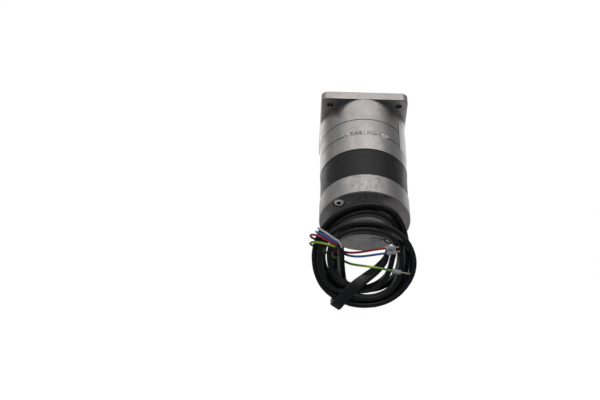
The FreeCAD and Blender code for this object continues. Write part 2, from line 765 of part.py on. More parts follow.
# ---------------------------------------------------------------- motor
def stator_stack():
    """Laminated stator with open-mouthed winding slots and four through holes."""
    body = ring("stator_stack", "stator_bore", "stack_radius", "stack_front", "stack_rear")
    sketch = new_sketch(body, "XZ_Plane", "stack_front")
    corners = [("stator_bore", -1, "slot_opening", -0.5), ("slot_mouth", 0, "slot_opening", -0.5),
               ("slot_mouth", 0, "slot_width", -0.5), ("slot_bottom", 0, "slot_width", -0.5),
               ("slot_bottom", 0, "slot_width", 0.5), ("slot_mouth", 0, "slot_width", 0.5),
               ("slot_mouth", 0, "slot_opening", 0.5), ("stator_bore", -1, "slot_opening", 0.5)]
    points = [Vector(size(radius) + shift, size(width) * half, 0)
              for radius, shift, width, half in corners]
    for i in range(len(points)):
        sketch.addGeometry(Part.LineSegment(points[i], points[(i + 1) % len(points)]), False)
    for i in range(len(points)):
        sketch.addConstraint(Sketcher.Constraint("Coincident", i, 2, (i + 1) % len(points), 1))
    for i, (radius, shift, width, half) in enumerate(corners):
        bind(sketch, "DistanceX", i, 1, "Sizes.%s + %d" % (radius, shift), points[i].x)
        bind(sketch, "DistanceY", i, 1, "Sizes.%s * %s" % (width, half), points[i].y)
    around(body, [pocket(body, sketch, "Sizes.stack_length")], int(size("slot_count")))
    offset = place("motor_screw_offset")
    hole = circle_sketch(body, "stack_front", offset, offset, "motor_screw_hole")
    around(body, [pocket(body, hole, "Sizes.stack_length")], 4)
    return body


def winding(label, inner, outer, first_slot):
    """One phase of the winding: a ring of end turns at each end, joined by a bar in every other slot."""
    margin = size("slot_liner")
    low = size("slot_mouth") + margin
    high = size("slot_bottom") - margin
    wide = size("slot_width") - 2 * margin
    bar = Part.makeBox(high - low, size("stack_length"), wide,
                       Vector(low, -size("stack_rear"), -wide / 2))
    shape = disc(size(outer), size("end_turn_front"), size("stack_front"))
    shape = shape.fuse(disc(size(outer), size("stack_rear"), size("end_turn_rear")))
    shape = shape.cut(disc(size(inner), size("end_turn_front"), size("end_turn_rear")))
    slots = int(size("slot_count"))
    bars = []
    for slot in range(first_slot, slots, 2):
        turned = bar.copy()
        turned.rotate(Vector(0, 0, 0), Y_AXIS, 360 * slot / slots)
        bars.append(turned)
    return shaped(label, shape.fuse(bars))


def rotor_core():
    """Laminated rotor with round holes for the cage bars."""
    body = ring("rotor_core", "rotor_seat_radius", "rotor_radius", "stack_front", "stack_rear")
    sketch = circle_sketch(body, "stack_front", place("bar_circle"), place("zero"), "bar_radius")
    around(body, [pocket(body, sketch, "Sizes.stack_length")], int(size("bar_count")))
    return body


def rotor_cage():
    """Die-cast squirrel cage: two end rings joined by bars through the core."""
    body = ring("rotor_cage", "end_ring_inner", "end_ring_outer", "end_ring_front", "stack_front")
    sketch = circle_sketch(body, "stack_front", place("bar_circle"), place("zero"), "bar_radius")
    around(body, [pad(body, sketch, "Sizes.stack_length")], int(size("bar_count")))
    turn(body, [("end_ring_inner", "stack_rear"), ("end_ring_outer", "stack_rear"),
                ("end_ring_outer", "end_ring_rear"), ("end_ring_inner", "end_ring_rear")])
    return body


def rotor_shaft():
    body = new_body("rotor_shaft")
    turn(body, [("zero", "rotor_shaft_front"), ("fast_sun_bore", "rotor_shaft_front"),
                ("fast_sun_bore", "rotor_shaft_step"), ("rotor_journal_radius", "rotor_shaft_step"),
                ("rotor_journal_radius", "rotor_seat_front"),
                ("rotor_seat_radius", "rotor_seat_front"),
                ("rotor_seat_radius", "rotor_seat_rear"),
                ("rotor_journal_radius", "rotor_seat_rear"),
                ("rotor_journal_radius", "rotor_shaft_rear"), ("zero", "rotor_shaft_rear")])
    return body


def opening_sketch(body, depth, margin):
    """The rectangular cable opening, grown by a margin on every side."""
    sketch = new_sketch(body, "XZ_Plane", depth)
    signs = [(-1, -1), (1, -1), (1, 1), (-1, 1)]
    points = [Vector(size("cable_exit_x") + a * (size("opening_half_width") + margin),
                     size("cable_exit_z") + b * (size("opening_half_height") + margin), 0)
              for a, b in signs]
    for i in range(4):
        sketch.addGeometry(Part.LineSegment(points[i], points[(i + 1) % 4]), False)
    for i in range(4):
        sketch.addConstraint(Sketcher.Constraint("Coincident", i, 2, (i + 1) % 4, 1))
    for i, (a, b) in enumerate(signs):
        bind(sketch, "DistanceX", i, 1, "Sizes.cable_exit_x + %d * (Sizes.opening_half_width + %s)"
             % (a, margin), points[i].x)
        bind(sketch, "DistanceY", i, 1, "Sizes.cable_exit_z + %d * (Sizes.opening_half_height + %s)"
             % (b, margin), points[i].y)
    return sketch


def rear_end_shield():
    """Rear cap: slight draft outside, raised disc, bearing hub, two screw bosses, cable opening."""
    body = new_body("rear_end_shield")
    turn(body, [("zero", "stack_rear"), ("cap_front_radius", "stack_rear"),
                ("cap_rear_radius", "cap_edge_start"), ("cap_edge_radius", "cap_rear"),
                ("cap_disc_radius", "cap_rear"),
                ("cap_disc_radius", "cap_disc_face"), ("zero", "cap_disc_face")])
    bore_out(body, [("zero", "stack_front"), ("rotor_race_radius", "stack_front"),
                    ("rotor_race_radius", "spring_seat_rear"), ("zero", "spring_seat_rear")])
    bore_out(body, [("rotor_race_radius", "stack_front"), ("cavity_radius", "stack_front"),
                    ("cavity_radius", "cap_wall_front"), ("hub_radius", "cap_wall_front"),
                    ("hub_radius", "rear_hub_front"), ("rotor_race_radius", "rear_hub_front")])
    for sign in (-1, 1):
        x = place("motor_screw_offset", sign)
        z = place("motor_screw_offset", -sign)
        pad(body, circle_sketch(body, "stack_rear", x, z, "boss_radius"),
            "Sizes.cap_wall_front - Sizes.stack_rear")
        pocket(body, circle_sketch(body, "stack_rear", x, z, "motor_screw_hole"),
               "Sizes.cap_length")
        pocket(body, circle_sketch(body, "motor_head_seat", x, z, "motor_head_pocket"),
               "Sizes.motor_pocket_depth + 1")
    pocket(body, opening_sketch(body, "cap_wall_front", 0), "Sizes.cap_length")
    return body


# ---------------------------------------------------------------- small parts
def shaft_seal():
    body = new_body("shaft_seal")
    turn(body, [("seal_lip_radius", "seal_front"), ("seal_seat_radius", "seal_front"),
                ("seal_seat_radius", "seal_rear"), ("seal_band_inner", "seal_rear"),
                ("seal_band_inner", "seal_web_rear"), ("seal_lip_outer", "seal_web_rear"),
                ("seal_lip_outer", "seal_lip_rear"), ("seal_lip_radius", "seal_lip_rear")])
    return body


def preload_spring():
    """Dished washer that pushes on the rear bearing's outer ring."""
    body = new_body("preload_spring")
    turn(body, [("spring_inner", "cap_wall_front"), ("spring_outer", "spring_front_outer"),
                ("spring_outer", "spring_rear_outer"), ("spring_inner", "spring_rear_inner")])
    return body


def lobed_recess():
    """Six-lobed driving recess that ends a little outside depth 0."""
    reach = size("motor_recess_reach")
    waist = size("motor_recess_waist")
    valley = size("motor_recess_valley")
    half = size("motor_recess_lobe")
    lobes = 6
    pitch = 360 / lobes
    edges = []
    for lobe in range(lobes):
        middle = pitch * lobe
        edges.append(Part.Arc(on_circle(waist, middle - half), on_circle(reach, middle),
                              on_circle(waist, middle + half)).toShape())
        edges.append(Part.Arc(on_circle(waist, middle + half), on_circle(valley, middle + pitch / 2),
                              on_circle(waist, middle + pitch - half)).toShape())
    recess = Part.Face(Part.Wire(edges))
    recess.translate(Vector(0, size("motor_recess_depth"), 0))
    return recess.extrude(Vector(0, -size("motor_recess_depth") - size("overcut"), 0))


def motor_screws():
    """Two long screws that clamp the rear shield and the stack to the front shield."""
    top = size("motor_head_seat") + size("motor_head_height")
    head = disc(size("motor_head_radius"), size("motor_head_seat"), top)
    rim = [edge for edge in head.Edges if edge.Closed and edge.CenterOfMass.y < size("overcut") - top]
    head = head.makeFillet(size("motor_head_edge"), rim)
    recess = lobed_recess()
    recess.translate(Vector(0, -top, 0))
    shank = disc(size("motor_screw_radius"), size("motor_screw_front"), size("motor_head_seat"))
    shape = head.cut(recess).fuse(shank)
    offset = size("motor_screw_offset")
    spots = [FreeCAD.Placement(Vector(sign * offset, 0, -sign * offset), FreeCAD.Rotation())
             for sign in (-1, 1)]
    return together("motor_screws", shape, spots)


def gearbox_screws():
    """Four socket screws through housing and ring gear into the motor's front shield."""
    seat = size("gearbox_pocket_depth")
    top = seat - size("gearbox_head_height")
    head = disc(size("gearbox_head_radius"), top, seat)
    reach = size("gearbox_socket_reach")
    corners = [on_circle(reach, 60 * i, top - size("overcut")) for i in range(7)]
    socket = Part.Face(Part.makePolygon(corners))
    socket = socket.extrude(Vector(0, -size("gearbox_socket_depth") - size("overcut"), 0))
    shank = disc(size("gearbox_screw_radius"), seat, size("gearbox_screw_end"))
    shape = head.cut(socket).fuse(shank)
    spots = []
    for degrees in (45, 135, 225, 315):
        spots.append(FreeCAD.Placement(on_circle(size("gearbox_screw_circle"), degrees),
                                       FreeCAD.Rotation()))
    return together("gearbox_screws", shape, spots)


def cable_grommet():
    """Rubber frame in the cap's cable opening, with a rim outside."""
    half_width = size("opening_half_width")
    half_height = size("opening_half_height")
    rim = size("grommet_rim")
    x = size("cable_exit_x")
    z = size("cable_exit_z")
    front = size("cap_wall_front")
    face = size("cap_disc_face")

    def block(margin, near, far):
        return Part.makeBox(2 * (half_width + margin), far - near, 2 * (half_height + margin),
                            Vector(x - half_width - margin, -far, z - half_height - margin))

    frame = block(0, front, face).fuse(block(rim, face, face + rim))
    upright = [edge for edge in frame.Edges
               if edge.BoundBox.YLength > rim / 2 and edge.CenterOfMass.y < -face]
    frame = frame.makeFillet(size("grommet_edge"), upright)
    wide = size("cable_width") + 2 * size("cable_gap")
    thick = size("cable_thickness") + 2 * size("cable_gap")
    passage = Part.makeBox(wide, 2 * size("cap_length"), thick,
                           Vector(x - wide / 2, -face - size("cap_length"), z - thick / 2))
    return shaped("cable_grommet", frame.cut(passage))


# ---------------------------------------------------------------- cable and wires
def on_slope(across, up, out):
    """A point of the leaning coil: across to the right, up the slope, and out from it."""
    slope = math.radians(size("coil_slope"))
    return Vector(size("coil_centre_x") + across,
                  -size("coil_centre_depth") + up * math.cos(slope) - out * math.sin(slope),
                  size("coil_centre_z") + up * math.sin(slope) + out * math.cos(slope))


# where each wire runs over the coil, as (across, up the slope), from the jacket's end onward
WIRE_ROUTES = {
    "earth_wire": [(-42, 10), (-34, -6), (-10, -10.5), (17, -10), (23, -10)],
    "red_wire": [(-39, 11), (-32, -1), (-8, -1), (13, 3), (19, 3.5)],
    "blue_wire": [(-36, 12), (-29, 3.5), (-6, 4), (13, 7.5), (19, 8)],
    "white_wire": [(-33, 13), (-26.5, 8), (-10, 10), (3, 13.5), (9, 14)],
}


def swept(points, profile, level):
    """A closed solid swept along a smooth curve. A level section lies flat on the slope."""
    curve = Part.BSplineCurve()
    curve.interpolate(points)
    spine = Part.Wire(curve.toShape())
    shell = Part.BRepOffsetAPI.MakePipeShell(spine)
    if level:
        shell.setBiNormalMode(on_slope(0, 0, 1) - on_slope(0, 0, 0))
    else:
        shell.setFrenetMode(False)
    shell.add(profile, False, False)
    shell.build()
    shell.makeSolid()
    return shell.shape()


def coil_spot(turned):
    """Angle, radius and height of the coil's centre line after a number of turns."""
    angle = math.radians(size("coil_start") + 360 * turned)
    radius = size("coil_radius") - size("coil_inward") * turned
    return angle, radius, size("coil_first_height") + size("coil_layer") * turned


def flat_cable():
    """Flat supply cable: out of the cap, then coiled up and leaning on the rear face."""
    x = size("cable_exit_x")
    z = size("cable_exit_z")
    inside = -size("cap_wall_front")
    outside = -size("cap_rear")
    step = size("cable_straight_step")
    points = [Vector(x, inside + step * (1 - i), z) for i in range(int(size("cable_straight_count")))]
    points.append(Vector(size("cable_bend_x"), outside - size("cable_bend_reach"),
                         size("cable_bend_z")))
    steps = size("coil_steps_per_turn")
    last = int(size("coil_turns") * steps)
    for i in range(last + 1):
        angle, radius, height = coil_spot(i / steps)
        points.append(on_slope(radius * math.cos(angle), radius * math.sin(angle), height))
    half_thick = size("cable_thickness") / 2
    half_wide = size("cable_width") / 2
    start = points[0]
    corners = [Vector(start.x + a * half_wide, start.y, start.z + b * half_thick)
               for a, b in ((-1, -1), (1, -1), (1, 1), (-1, 1), (-1, -1))]
    return shaped("flat_cable", swept(points, Part.makePolygon(corners), True))


def wire_path(label):
    """A wire from the end of the jacket out to the left, round, and back to the right."""
    angle, radius, height = coil_spot(size("coil_turns"))
    number = list(WIRE_ROUTES).index(label)
    away = radius + size("wire_spacing") * (1.5 - number)
    ahead = Vector(-math.sin(angle), math.cos(angle), 0)
    start = Vector(away * math.cos(angle), away * math.sin(angle), height) + ahead * size("wire_gap")
    leaving = start + ahead * size("wire_straight")
    climb = size("wire_climb")
    spots = [start, leaving]
    for step, (across, up) in enumerate(WIRE_ROUTES[label]):
        steps = min(step + 1, size("wire_climb_steps"))
        spots.append(Vector(across, up, height + steps * climb))
    return [on_slope(spot.x, spot.y, spot.z) for spot in spots]


def wire(label):
    points = wire_path(label)
    direction = (points[1] - points[0]).normalize()
    circle = Part.Wire(Part.Circle(points[0], direction, size("wire_radius")).toShape())
    return shaped(label, swept(points, circle, False))


def crimped_ends():
    """Sleeves on the four wire ends, and the bare strands that stand out of them."""
    sleeves = []
    tips = []
    for label in WIRE_ROUTES:
        points = wire_path(label)
        direction = (points[-1] - points[-2]).normalize()
        start = points[-1] + direction * size("ferrule_gap")
        sleeves.append(Part.makeCylinder(size("ferrule_radius"), size("ferrule_length"),
                                         start, direction))
        tips.append(Part.makeCylinder(size("tip_radius"), size("tip_length"),
                                      start + direction * size("ferrule_length"), direction))
    keep(shaped("wire_sleeves", Part.makeCompound(sleeves)))
    keep(shaped("wire_tips", Part.makeCompound(tips)))


def rating_label():
    """Blank label wrapped round the side of the casing."""
    body = ring("rating_label", "barrel_radius", "label_radius", "label_front", "label_rear",
                size("label_arc"))
    body.Placement = FreeCAD.Placement(Vector(0, 0, 0),
                                       FreeCAD.Rotation(Y_AXIS, -size("label_centre")))
    return body


def build_all():
    keep(output_housing())
    keep(ring_gear())
    keep(motor_front_shield())
    keep(output_shaft())
    bearing("output", "journal_radius", "output_inner_shoulder", "output_outer_shoulder",
            "output_race_radius", "output_ball_circle", "output_balls", "output_bearing_width",
            ["output_bearing_front", "second_bearing_front"])
    keep(fast_sun_gear())
    keep(slow_sun_gear())
    keep(fast_carrier())
    planet_set("slow", "slow_planet_front", "slow_planet_width", "slow_plate_front", "slow_pin_rear")
    planet_set("fast", "fast_planet_front", "fast_planet_width", "fast_plate_front", "fast_pin_rear")
    keep(stator_stack())
    keep(winding("main_winding", "main_turn_inner", "main_turn_outer", 0))
    keep(winding("auxiliary_winding", "auxiliary_turn_inner", "auxiliary_turn_outer", 1))
    keep(rotor_core())
    keep(rotor_cage())
    keep(rotor_shaft())
    bearing("rotor", "rotor_journal_radius", "rotor_inner_shoulder", "rotor_outer_shoulder",
            "rotor_race_radius", "rotor_ball_circle", "rotor_balls", "rotor_bearing_width",
            ["rotor_bearing_front", "rotor_rear_bearing_front"])
    keep(rear_end_shield())
    keep(shaft_seal())
    keep(preload_spring())
    keep(ring("outer_bearing_spacer", "output_spacer_inner", "output_race_radius",
              "output_bearing_rear", "second_bearing_front"))
    keep(ring("shaft_bearing_spacer", "journal_radius", "shaft_spacer_outer",
              "output_bearing_rear", "second_bearing_front"))
    keep(ring("housing_circlip", "output_spacer_inner", "circlip_groove_radius",
              "circlip_groove_front", "circlip_groove_rear", size("circlip_arc")))
    keep(ring("shaft_circlip", "shaft_groove_radius", "shaft_circlip_radius",
              "shaft_circlip_front", "shaft_groove_rear", size("circlip_arc")))
    keep(motor_screws())
    keep(gearbox_screws())
    keep(cable_grommet())
    keep(flat_cable())
    for label in WIRE_ROUTES:
        keep(wire(label))
    crimped_ends()
    keep(rating_label())


build_all()
doc.recompute()
for item in doc.Objects:
    assert not {"Invalid", "Error"} & set(item.State), (item.Label, item.State)
os.makedirs("parts", exist_ok=True)
for part in sub_parts:
    assert not part.Shape.isNull() and part.Shape.isValid(), part.Label
    part.Shape.exportStep("parts/%s.step" % part.Label)
    print(part.Label, len(part.Shape.Solids), round(part.Shape.Volume, 1))
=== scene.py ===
"""Looks of a round gearmotor with a planetary gearbox and a coiled flat supply cable.

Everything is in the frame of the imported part: +Y out along the shaft, +Z up, in metres.
Lengths written in millimetres are turned into metres with MM.
"""

import json
import math

import bpy
from mathutils import Matrix, Vector, noise
from mathutils.kdtree import KDTree


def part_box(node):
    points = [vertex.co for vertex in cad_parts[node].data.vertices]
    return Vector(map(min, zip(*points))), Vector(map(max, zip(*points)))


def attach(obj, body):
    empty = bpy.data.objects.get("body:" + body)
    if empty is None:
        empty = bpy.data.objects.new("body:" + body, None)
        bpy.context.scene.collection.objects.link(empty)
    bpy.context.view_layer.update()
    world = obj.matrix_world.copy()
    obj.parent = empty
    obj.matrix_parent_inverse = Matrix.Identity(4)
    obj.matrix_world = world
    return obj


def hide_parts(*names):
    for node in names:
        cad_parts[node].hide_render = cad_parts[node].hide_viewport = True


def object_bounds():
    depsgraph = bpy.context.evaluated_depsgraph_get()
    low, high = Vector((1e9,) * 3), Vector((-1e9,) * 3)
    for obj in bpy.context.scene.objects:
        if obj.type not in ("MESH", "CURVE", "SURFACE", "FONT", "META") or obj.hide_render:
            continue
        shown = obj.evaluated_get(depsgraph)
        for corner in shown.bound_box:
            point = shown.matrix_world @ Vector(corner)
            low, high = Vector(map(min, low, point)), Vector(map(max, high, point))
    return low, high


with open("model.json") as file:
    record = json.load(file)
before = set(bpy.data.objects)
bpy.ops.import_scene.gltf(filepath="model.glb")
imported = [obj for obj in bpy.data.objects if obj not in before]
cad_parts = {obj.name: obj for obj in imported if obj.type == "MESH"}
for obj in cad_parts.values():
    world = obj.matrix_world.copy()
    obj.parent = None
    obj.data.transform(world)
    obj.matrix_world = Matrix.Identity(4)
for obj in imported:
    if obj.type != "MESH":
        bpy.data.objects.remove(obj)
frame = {"nodes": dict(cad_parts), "record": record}
cad_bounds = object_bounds()

MM = 0.001
HOUSING = "housing"
# sockets of a mix node that works on colours
MIX_FIRST = 6
MIX_SECOND = 7
MIX_RESULT = 2


# ---------------------------------------------------------------- places taken from the frame
def extent(node):
    """Lowest and highest corner of a CAD node, in millimetres."""
    low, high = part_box(node)
    return low / MM, high / MM


shield_high = extent("motor_front_shield")[1]
cap_low, cap_high = extent("rear_end_shield")
grommet_low, grommet_high = extent("cable_grommet")
barrel_radius = shield_high.x
cap_radius = cap_high.x
shield_joint = shield_high.y
LIP_LENGTH = 2.4
gearbox_joint = extent("ring_gear")[1].y - LIP_LENGTH
stack_low, stack_high = extent("stator_stack")
label_top = extent("rating_label")[1].z
screw_face = extent("motor_screws")[0].y
SCREW_HEAD_RADIUS = 4.45
screw_offset = extent("motor_screws")[1].x - SCREW_HEAD_RADIUS
FLANGE_THICK = 8.85
bolts = next(m for m in frame["record"]["mounts"] if m["name"] == "flange_bolts")["dims"]
corner_holes = (bolts["spacing_x_mm"] / 2, bolts["hole_r_mm"], -FLANGE_THICK)
cap_face = cap_low.y
cable_exit = (grommet_low + grommet_high) / 2
floor_height = cad_bounds[0].z / MM


# ---------------------------------------------------------------- procedural materials
class Nodes:
    """A node tree built by calls. A value is a socket, a plain number or a colour."""

    def __init__(self, tree):
        self.tree = tree

    def node(self, kind, **settings):
        made = self.tree.nodes.new(kind)
        for key, value in settings.items():
            setattr(made, key, value)
        return made

    def link(self, source, target):
        self.tree.links.new(source, target)

    def feed(self, socket, value):
        """Links a socket, or sets it when value is a plain number or colour."""
        if isinstance(value, bpy.types.NodeSocket):
            self.link(value, socket)
        elif hasattr(value, "__len__"):
            socket.default_value = (*value, 1.0) if len(value) == 3 else value
        elif hasattr(socket.default_value, "__len__"):
            socket.default_value = (value, value, value, 1.0)
        else:
            socket.default_value = value

    def maths(self, operation, first, second=0.0, third=0.0):
        made = self.node("ShaderNodeMath", operation=operation)
        for socket, value in zip(made.inputs, (first, second, third)):
            self.feed(socket, value)
        return made.outputs[0]

    def split(self, place):
        """The X, Y and Z of a place, as outputs with those names."""
        made = self.node("ShaderNodeSeparateXYZ")
        self.link(place, made.inputs[0])
        return made.outputs

    def between(self, value, low, high, bottom=0.0, top=1.0):
        """Maps value from low..high to bottom..top, held at the ends."""
        made = self.node("ShaderNodeMapRange")
        made.interpolation_type = "SMOOTHSTEP"
        self.feed(made.inputs["Value"], value)
        made.inputs["From Min"].default_value = low
        made.inputs["From Max"].default_value = high
        self.feed(made.inputs["To Min"], bottom)
        self.feed(made.inputs["To Max"], top)
        return made.outputs["Result"]

    def mix(self, share, first, second):
        made = self.node("ShaderNodeMix", data_type="RGBA")
        self.feed(made.inputs["Factor"], share)
        self.feed(made.inputs[MIX_FIRST], first)
        self.feed(made.inputs[MIX_SECOND], second)
        return made.outputs[MIX_RESULT]

    def shader_node(self, kind, **values):
        made = self.node(kind)
        for name, value in values.items():
            self.feed(made.inputs[name], value)
        return made.outputs[0]

    def mix_shaders(self, share, first, second):
        made = self.node("ShaderNodeMixShader")
        self.feed(made.inputs["Fac"], share)
        self.link(first, made.inputs[1])
        self.link(second, made.inputs[2])
        return made.outputs[0]


class Paint(Nodes):
    """A procedural material, built node by node round one Principled shader.

    Patterns are sized in millimetres and fixed to the object's own coordinates.
    """

    def __init__(self, name):
        self.material = bpy.data.materials.new(name)
        self.material.use_nodes = True
        super().__init__(self.material.node_tree)
        self.shader = self.tree.nodes["Principled BSDF"]
        coordinates = self.node("ShaderNodeTexCoord")
        in_mm = self.node("ShaderNodeVectorMath", operation="SCALE")
        in_mm.inputs["Scale"].default_value = 1 / MM
        self.link(coordinates.outputs["Object"], in_mm.inputs[0])
        self.place = in_mm.outputs[0]

    def set(self, name, value):
        self.feed(self.shader.inputs[name], value)

    def axis(self, letter):
        return self.split(self.place)[letter]

    def noise(self, size, detail=3.0, stretch=(1, 1, 1), distortion=0.0, rough=0.5):
        """Soft noise whose features are about size mm across, stretched along an axis."""
        mapping = self.node("ShaderNodeMapping")
        for i in range(3):
            mapping.inputs["Scale"].default_value[i] = 1 / (size * stretch[i])
        self.link(self.place, mapping.inputs["Vector"])
        made = self.node("ShaderNodeTexNoise")
        made.inputs["Scale"].default_value = 1.0
        made.inputs["Detail"].default_value = detail
        made.inputs["Roughness"].default_value = rough
        made.inputs["Distortion"].default_value = distortion
        self.link(mapping.outputs[0], made.inputs["Vector"])
        return made.outputs["Fac"]

    def edges(self, radius):
        """1 near sharp edges and 0 on open faces."""
        bevel = self.node("ShaderNodeBevel", samples=4)
        bevel.inputs["Radius"].default_value = radius * MM
        geometry = self.node("ShaderNodeNewGeometry")
        dot = self.node("ShaderNodeVectorMath", operation="DOT_PRODUCT")
        self.link(bevel.outputs[0], dot.inputs[0])
        self.link(geometry.outputs["Normal"], dot.inputs[1])
        return self.between(dot.outputs["Value"], 0.985, 0.90)

    def bump(self, height, strength, depth, onto=None):
        """Adds a bump of depth mm from a 0..1 height, over another bump if one is given."""
        made = self.node("ShaderNodeBump")
        made.inputs["Strength"].default_value = strength
        made.inputs["Distance"].default_value = depth * MM
        self.feed(made.inputs["Height"], height)
        if onto is not None:
            self.link(onto, made.inputs["Normal"])
        self.link(made.outputs[0], self.shader.inputs["Normal"])
        return made.outputs[0]


def cast_metal(name, tone, seams=(), holes=None, top_patch=None, smooth_face=None):
    """Raw die-cast skin: clouded grey, dark flow marks and a sandy grain.

    seams are the depths of the joints, drawn dark. holes is the offset, radius and depth of the
    corner holes, with painted shade inside. top_patch is the half width of a paler, rougher area
    on top, and smooth_face the depth of a face that shines more than the rest.
    """
    paint = Paint(name)
    clouds = paint.noise(12, 5, stretch=(1, 1.6, 1), distortion=0.6)
    marks = paint.noise(4.0, 6, stretch=(1, 1.4, 1), distortion=1.2, rough=0.6)
    mottle = paint.noise(1.5, 3)
    sand = paint.noise(0.5, 4)
    dark = [c * 0.55 for c in tone]
    colour = paint.mix(paint.between(clouds, 0.34, 0.66), [c * 0.80 for c in tone], tone)
    colour = paint.mix(paint.between(marks, 0.54, 0.68, 0, 0.5), colour, dark)
    colour = paint.mix(paint.between(mottle, 0.35, 0.65, 0.34, 0), colour, dark)
    colour = paint.mix(paint.between(sand, 0.3, 0.7, 0.4, 0), colour, dark)
    roughness = paint.between(clouds, 0.3, 0.7, 0.40, 0.30)
    if top_patch:
        across = paint.maths("ABSOLUTE", paint.axis("X"))
        inside = paint.between(across, top_patch, top_patch - 1.5)
        patch = paint.maths("MULTIPLY", inside, paint.between(paint.axis("Z"), 5, 15))
        pale = [c * 0.86 for c in tone]
        rough_tone = paint.mix(paint.between(marks, 0.42, 0.62), pale, [c * 0.62 for c in pale])
        rough_tone = paint.mix(paint.between(mottle, 0.4, 0.62, 0.35, 0), rough_tone, tone)
        colour = paint.mix(paint.maths("MULTIPLY", patch, 0.85), colour, rough_tone)
        roughness = paint.maths("ADD", roughness, paint.maths("MULTIPLY", patch, 0.2))
    worn = paint.edges(0.45)
    colour = paint.mix(paint.maths("MULTIPLY", worn, 0.5), colour, [min(1, c * 1.3) for c in tone])
    for depth in seams:
        away = paint.maths("ABSOLUTE", paint.maths("SUBTRACT", paint.axis("Y"), depth))
        colour = paint.mix(paint.between(away, 0.55, 0.28, 0, 0.93), colour, (0.01, 0.01, 0.011))
    # painted shade: near black on the walls inside the corner holes
    if holes:
        offset, radius, depth = holes
        spot = [paint.maths("SUBTRACT", paint.maths("ABSOLUTE", paint.axis(letter)), offset)
                for letter in "XZ"]
        reach = paint.maths("SQRT", paint.maths("ADD", paint.maths("POWER", spot[0], 2),
                                                paint.maths("POWER", spot[1], 2)))
        inside = paint.maths("MULTIPLY", paint.between(reach, radius + 0.25, radius + 0.05),
                             paint.between(paint.axis("Y"), depth + 0.2, depth + 0.8))
        colour = paint.mix(paint.maths("MULTIPLY", inside, 0.92), colour, (0.004, 0.004, 0.004))
    if smooth_face:
        on_face = paint.between(paint.axis("Y"), smooth_face + 0.5, smooth_face + 0.2)
        roughness = paint.maths("SUBTRACT", roughness, paint.maths("MULTIPLY", on_face, 0.12))
    paint.set("Base Color", colour)
    paint.set("Metallic", 0.97)
    paint.set("Roughness", roughness)
    base = paint.bump(sand, 0.35, 0.10)
    base = paint.bump(mottle, 0.25, 0.12, base)
    paint.bump(marks, 0.2, 0.25, base)
    return paint.material


def sheet_stack(name, tone, pitch, gloss, shaded_ends=()):
    """Edges of a stack of thin sheets, each a little lighter or darker, with varnish over, and
    painted shade at each of the given ends, where a shield's rim overhangs the stack.
    """
    paint = Paint(name)
    count = paint.maths("DIVIDE", paint.axis("Y"), pitch)
    number = paint.maths("FLOOR", count)
    within = paint.maths("FRACT", count)
    chance = paint.node("ShaderNodeTexWhiteNoise", noise_dimensions="1D")
    paint.feed(chance.inputs["W"], number)
    seam = paint.between(paint.maths("ABSOLUTE", paint.maths("SUBTRACT", within, 0.5)), 0.32, 0.5)
    smear = paint.noise(7, 4, stretch=(1, 2, 1))
    pale = [c * 1.5 for c in tone]
    colour = paint.mix(chance.outputs["Value"], tone, pale)
    colour = paint.mix(paint.maths("MULTIPLY", seam, 0.6), colour, [c * 0.4 for c in tone])
    colour = paint.mix(paint.between(smear, 0.45, 0.75, 0, 0.5), colour, pale)
    shine = 0.36
    # painted shade: near black, with less shine, along each end of the stack under the shield's rim
    for depth in shaded_ends:
        away = paint.maths("ABSOLUTE", paint.maths("SUBTRACT", paint.axis("Y"), depth))
        shine = paint.between(away, 0.5, 0.9, 0.0, shine)
        colour = paint.mix(paint.between(away, 0.9, 0.5), colour, (0.002, 0.002, 0.002))
    paint.set("Base Color", colour)
    paint.set("Specular IOR Level", shine)
    paint.set("IOR", 1.4)
    paint.set("Roughness", paint.between(smear, 0.3, 0.7, gloss, gloss + 0.14))
    ridges = paint.maths("ADD", paint.maths("MULTIPLY", chance.outputs["Value"], 0.5),
                         paint.maths("SUBTRACT", 1.0, seam))
    base = paint.bump(ridges, 0.35, 0.05)
    paint.bump(paint.noise(0.8, 3), 0.15, 0.05, base)
    return paint.material


def machined(name, tone, roughness, stretch=(1, 1, 1), grain=0.25, smudge=0.25, wear=0.3):
    """Turned, ground or plated metal: fine tool lines, smudges and brighter edges."""
    paint = Paint(name)
    lines = paint.noise(grain, 3, stretch=stretch)
    smudges = paint.noise(6, 5, distortion=0.8)
    colour = paint.mix(paint.between(lines, 0.3, 0.7, 0.3, 0), tone, [c * 0.72 for c in tone])
    colour = paint.mix(paint.between(smudges, 0.45, 0.7, 0, smudge), colour,
                       [c * 0.6 for c in tone])
    colour = paint.mix(paint.maths("MULTIPLY", paint.edges(0.25), wear), colour,
                       [min(1, c * 1.4) for c in tone])
    paint.set("Base Color", colour)
    paint.set("Metallic", 1.0)
    paint.set("Roughness", paint.between(smudges, 0.3, 0.7, roughness, roughness + 0.12))
    paint.bump(lines, 0.2, 0.02)
    return paint.material


# the painted shade of the driving recess is full from its inside radius inward, and gone past its
# outside radius
RECESS_OUTSIDE = 2.57
RECESS_INSIDE = 2.28


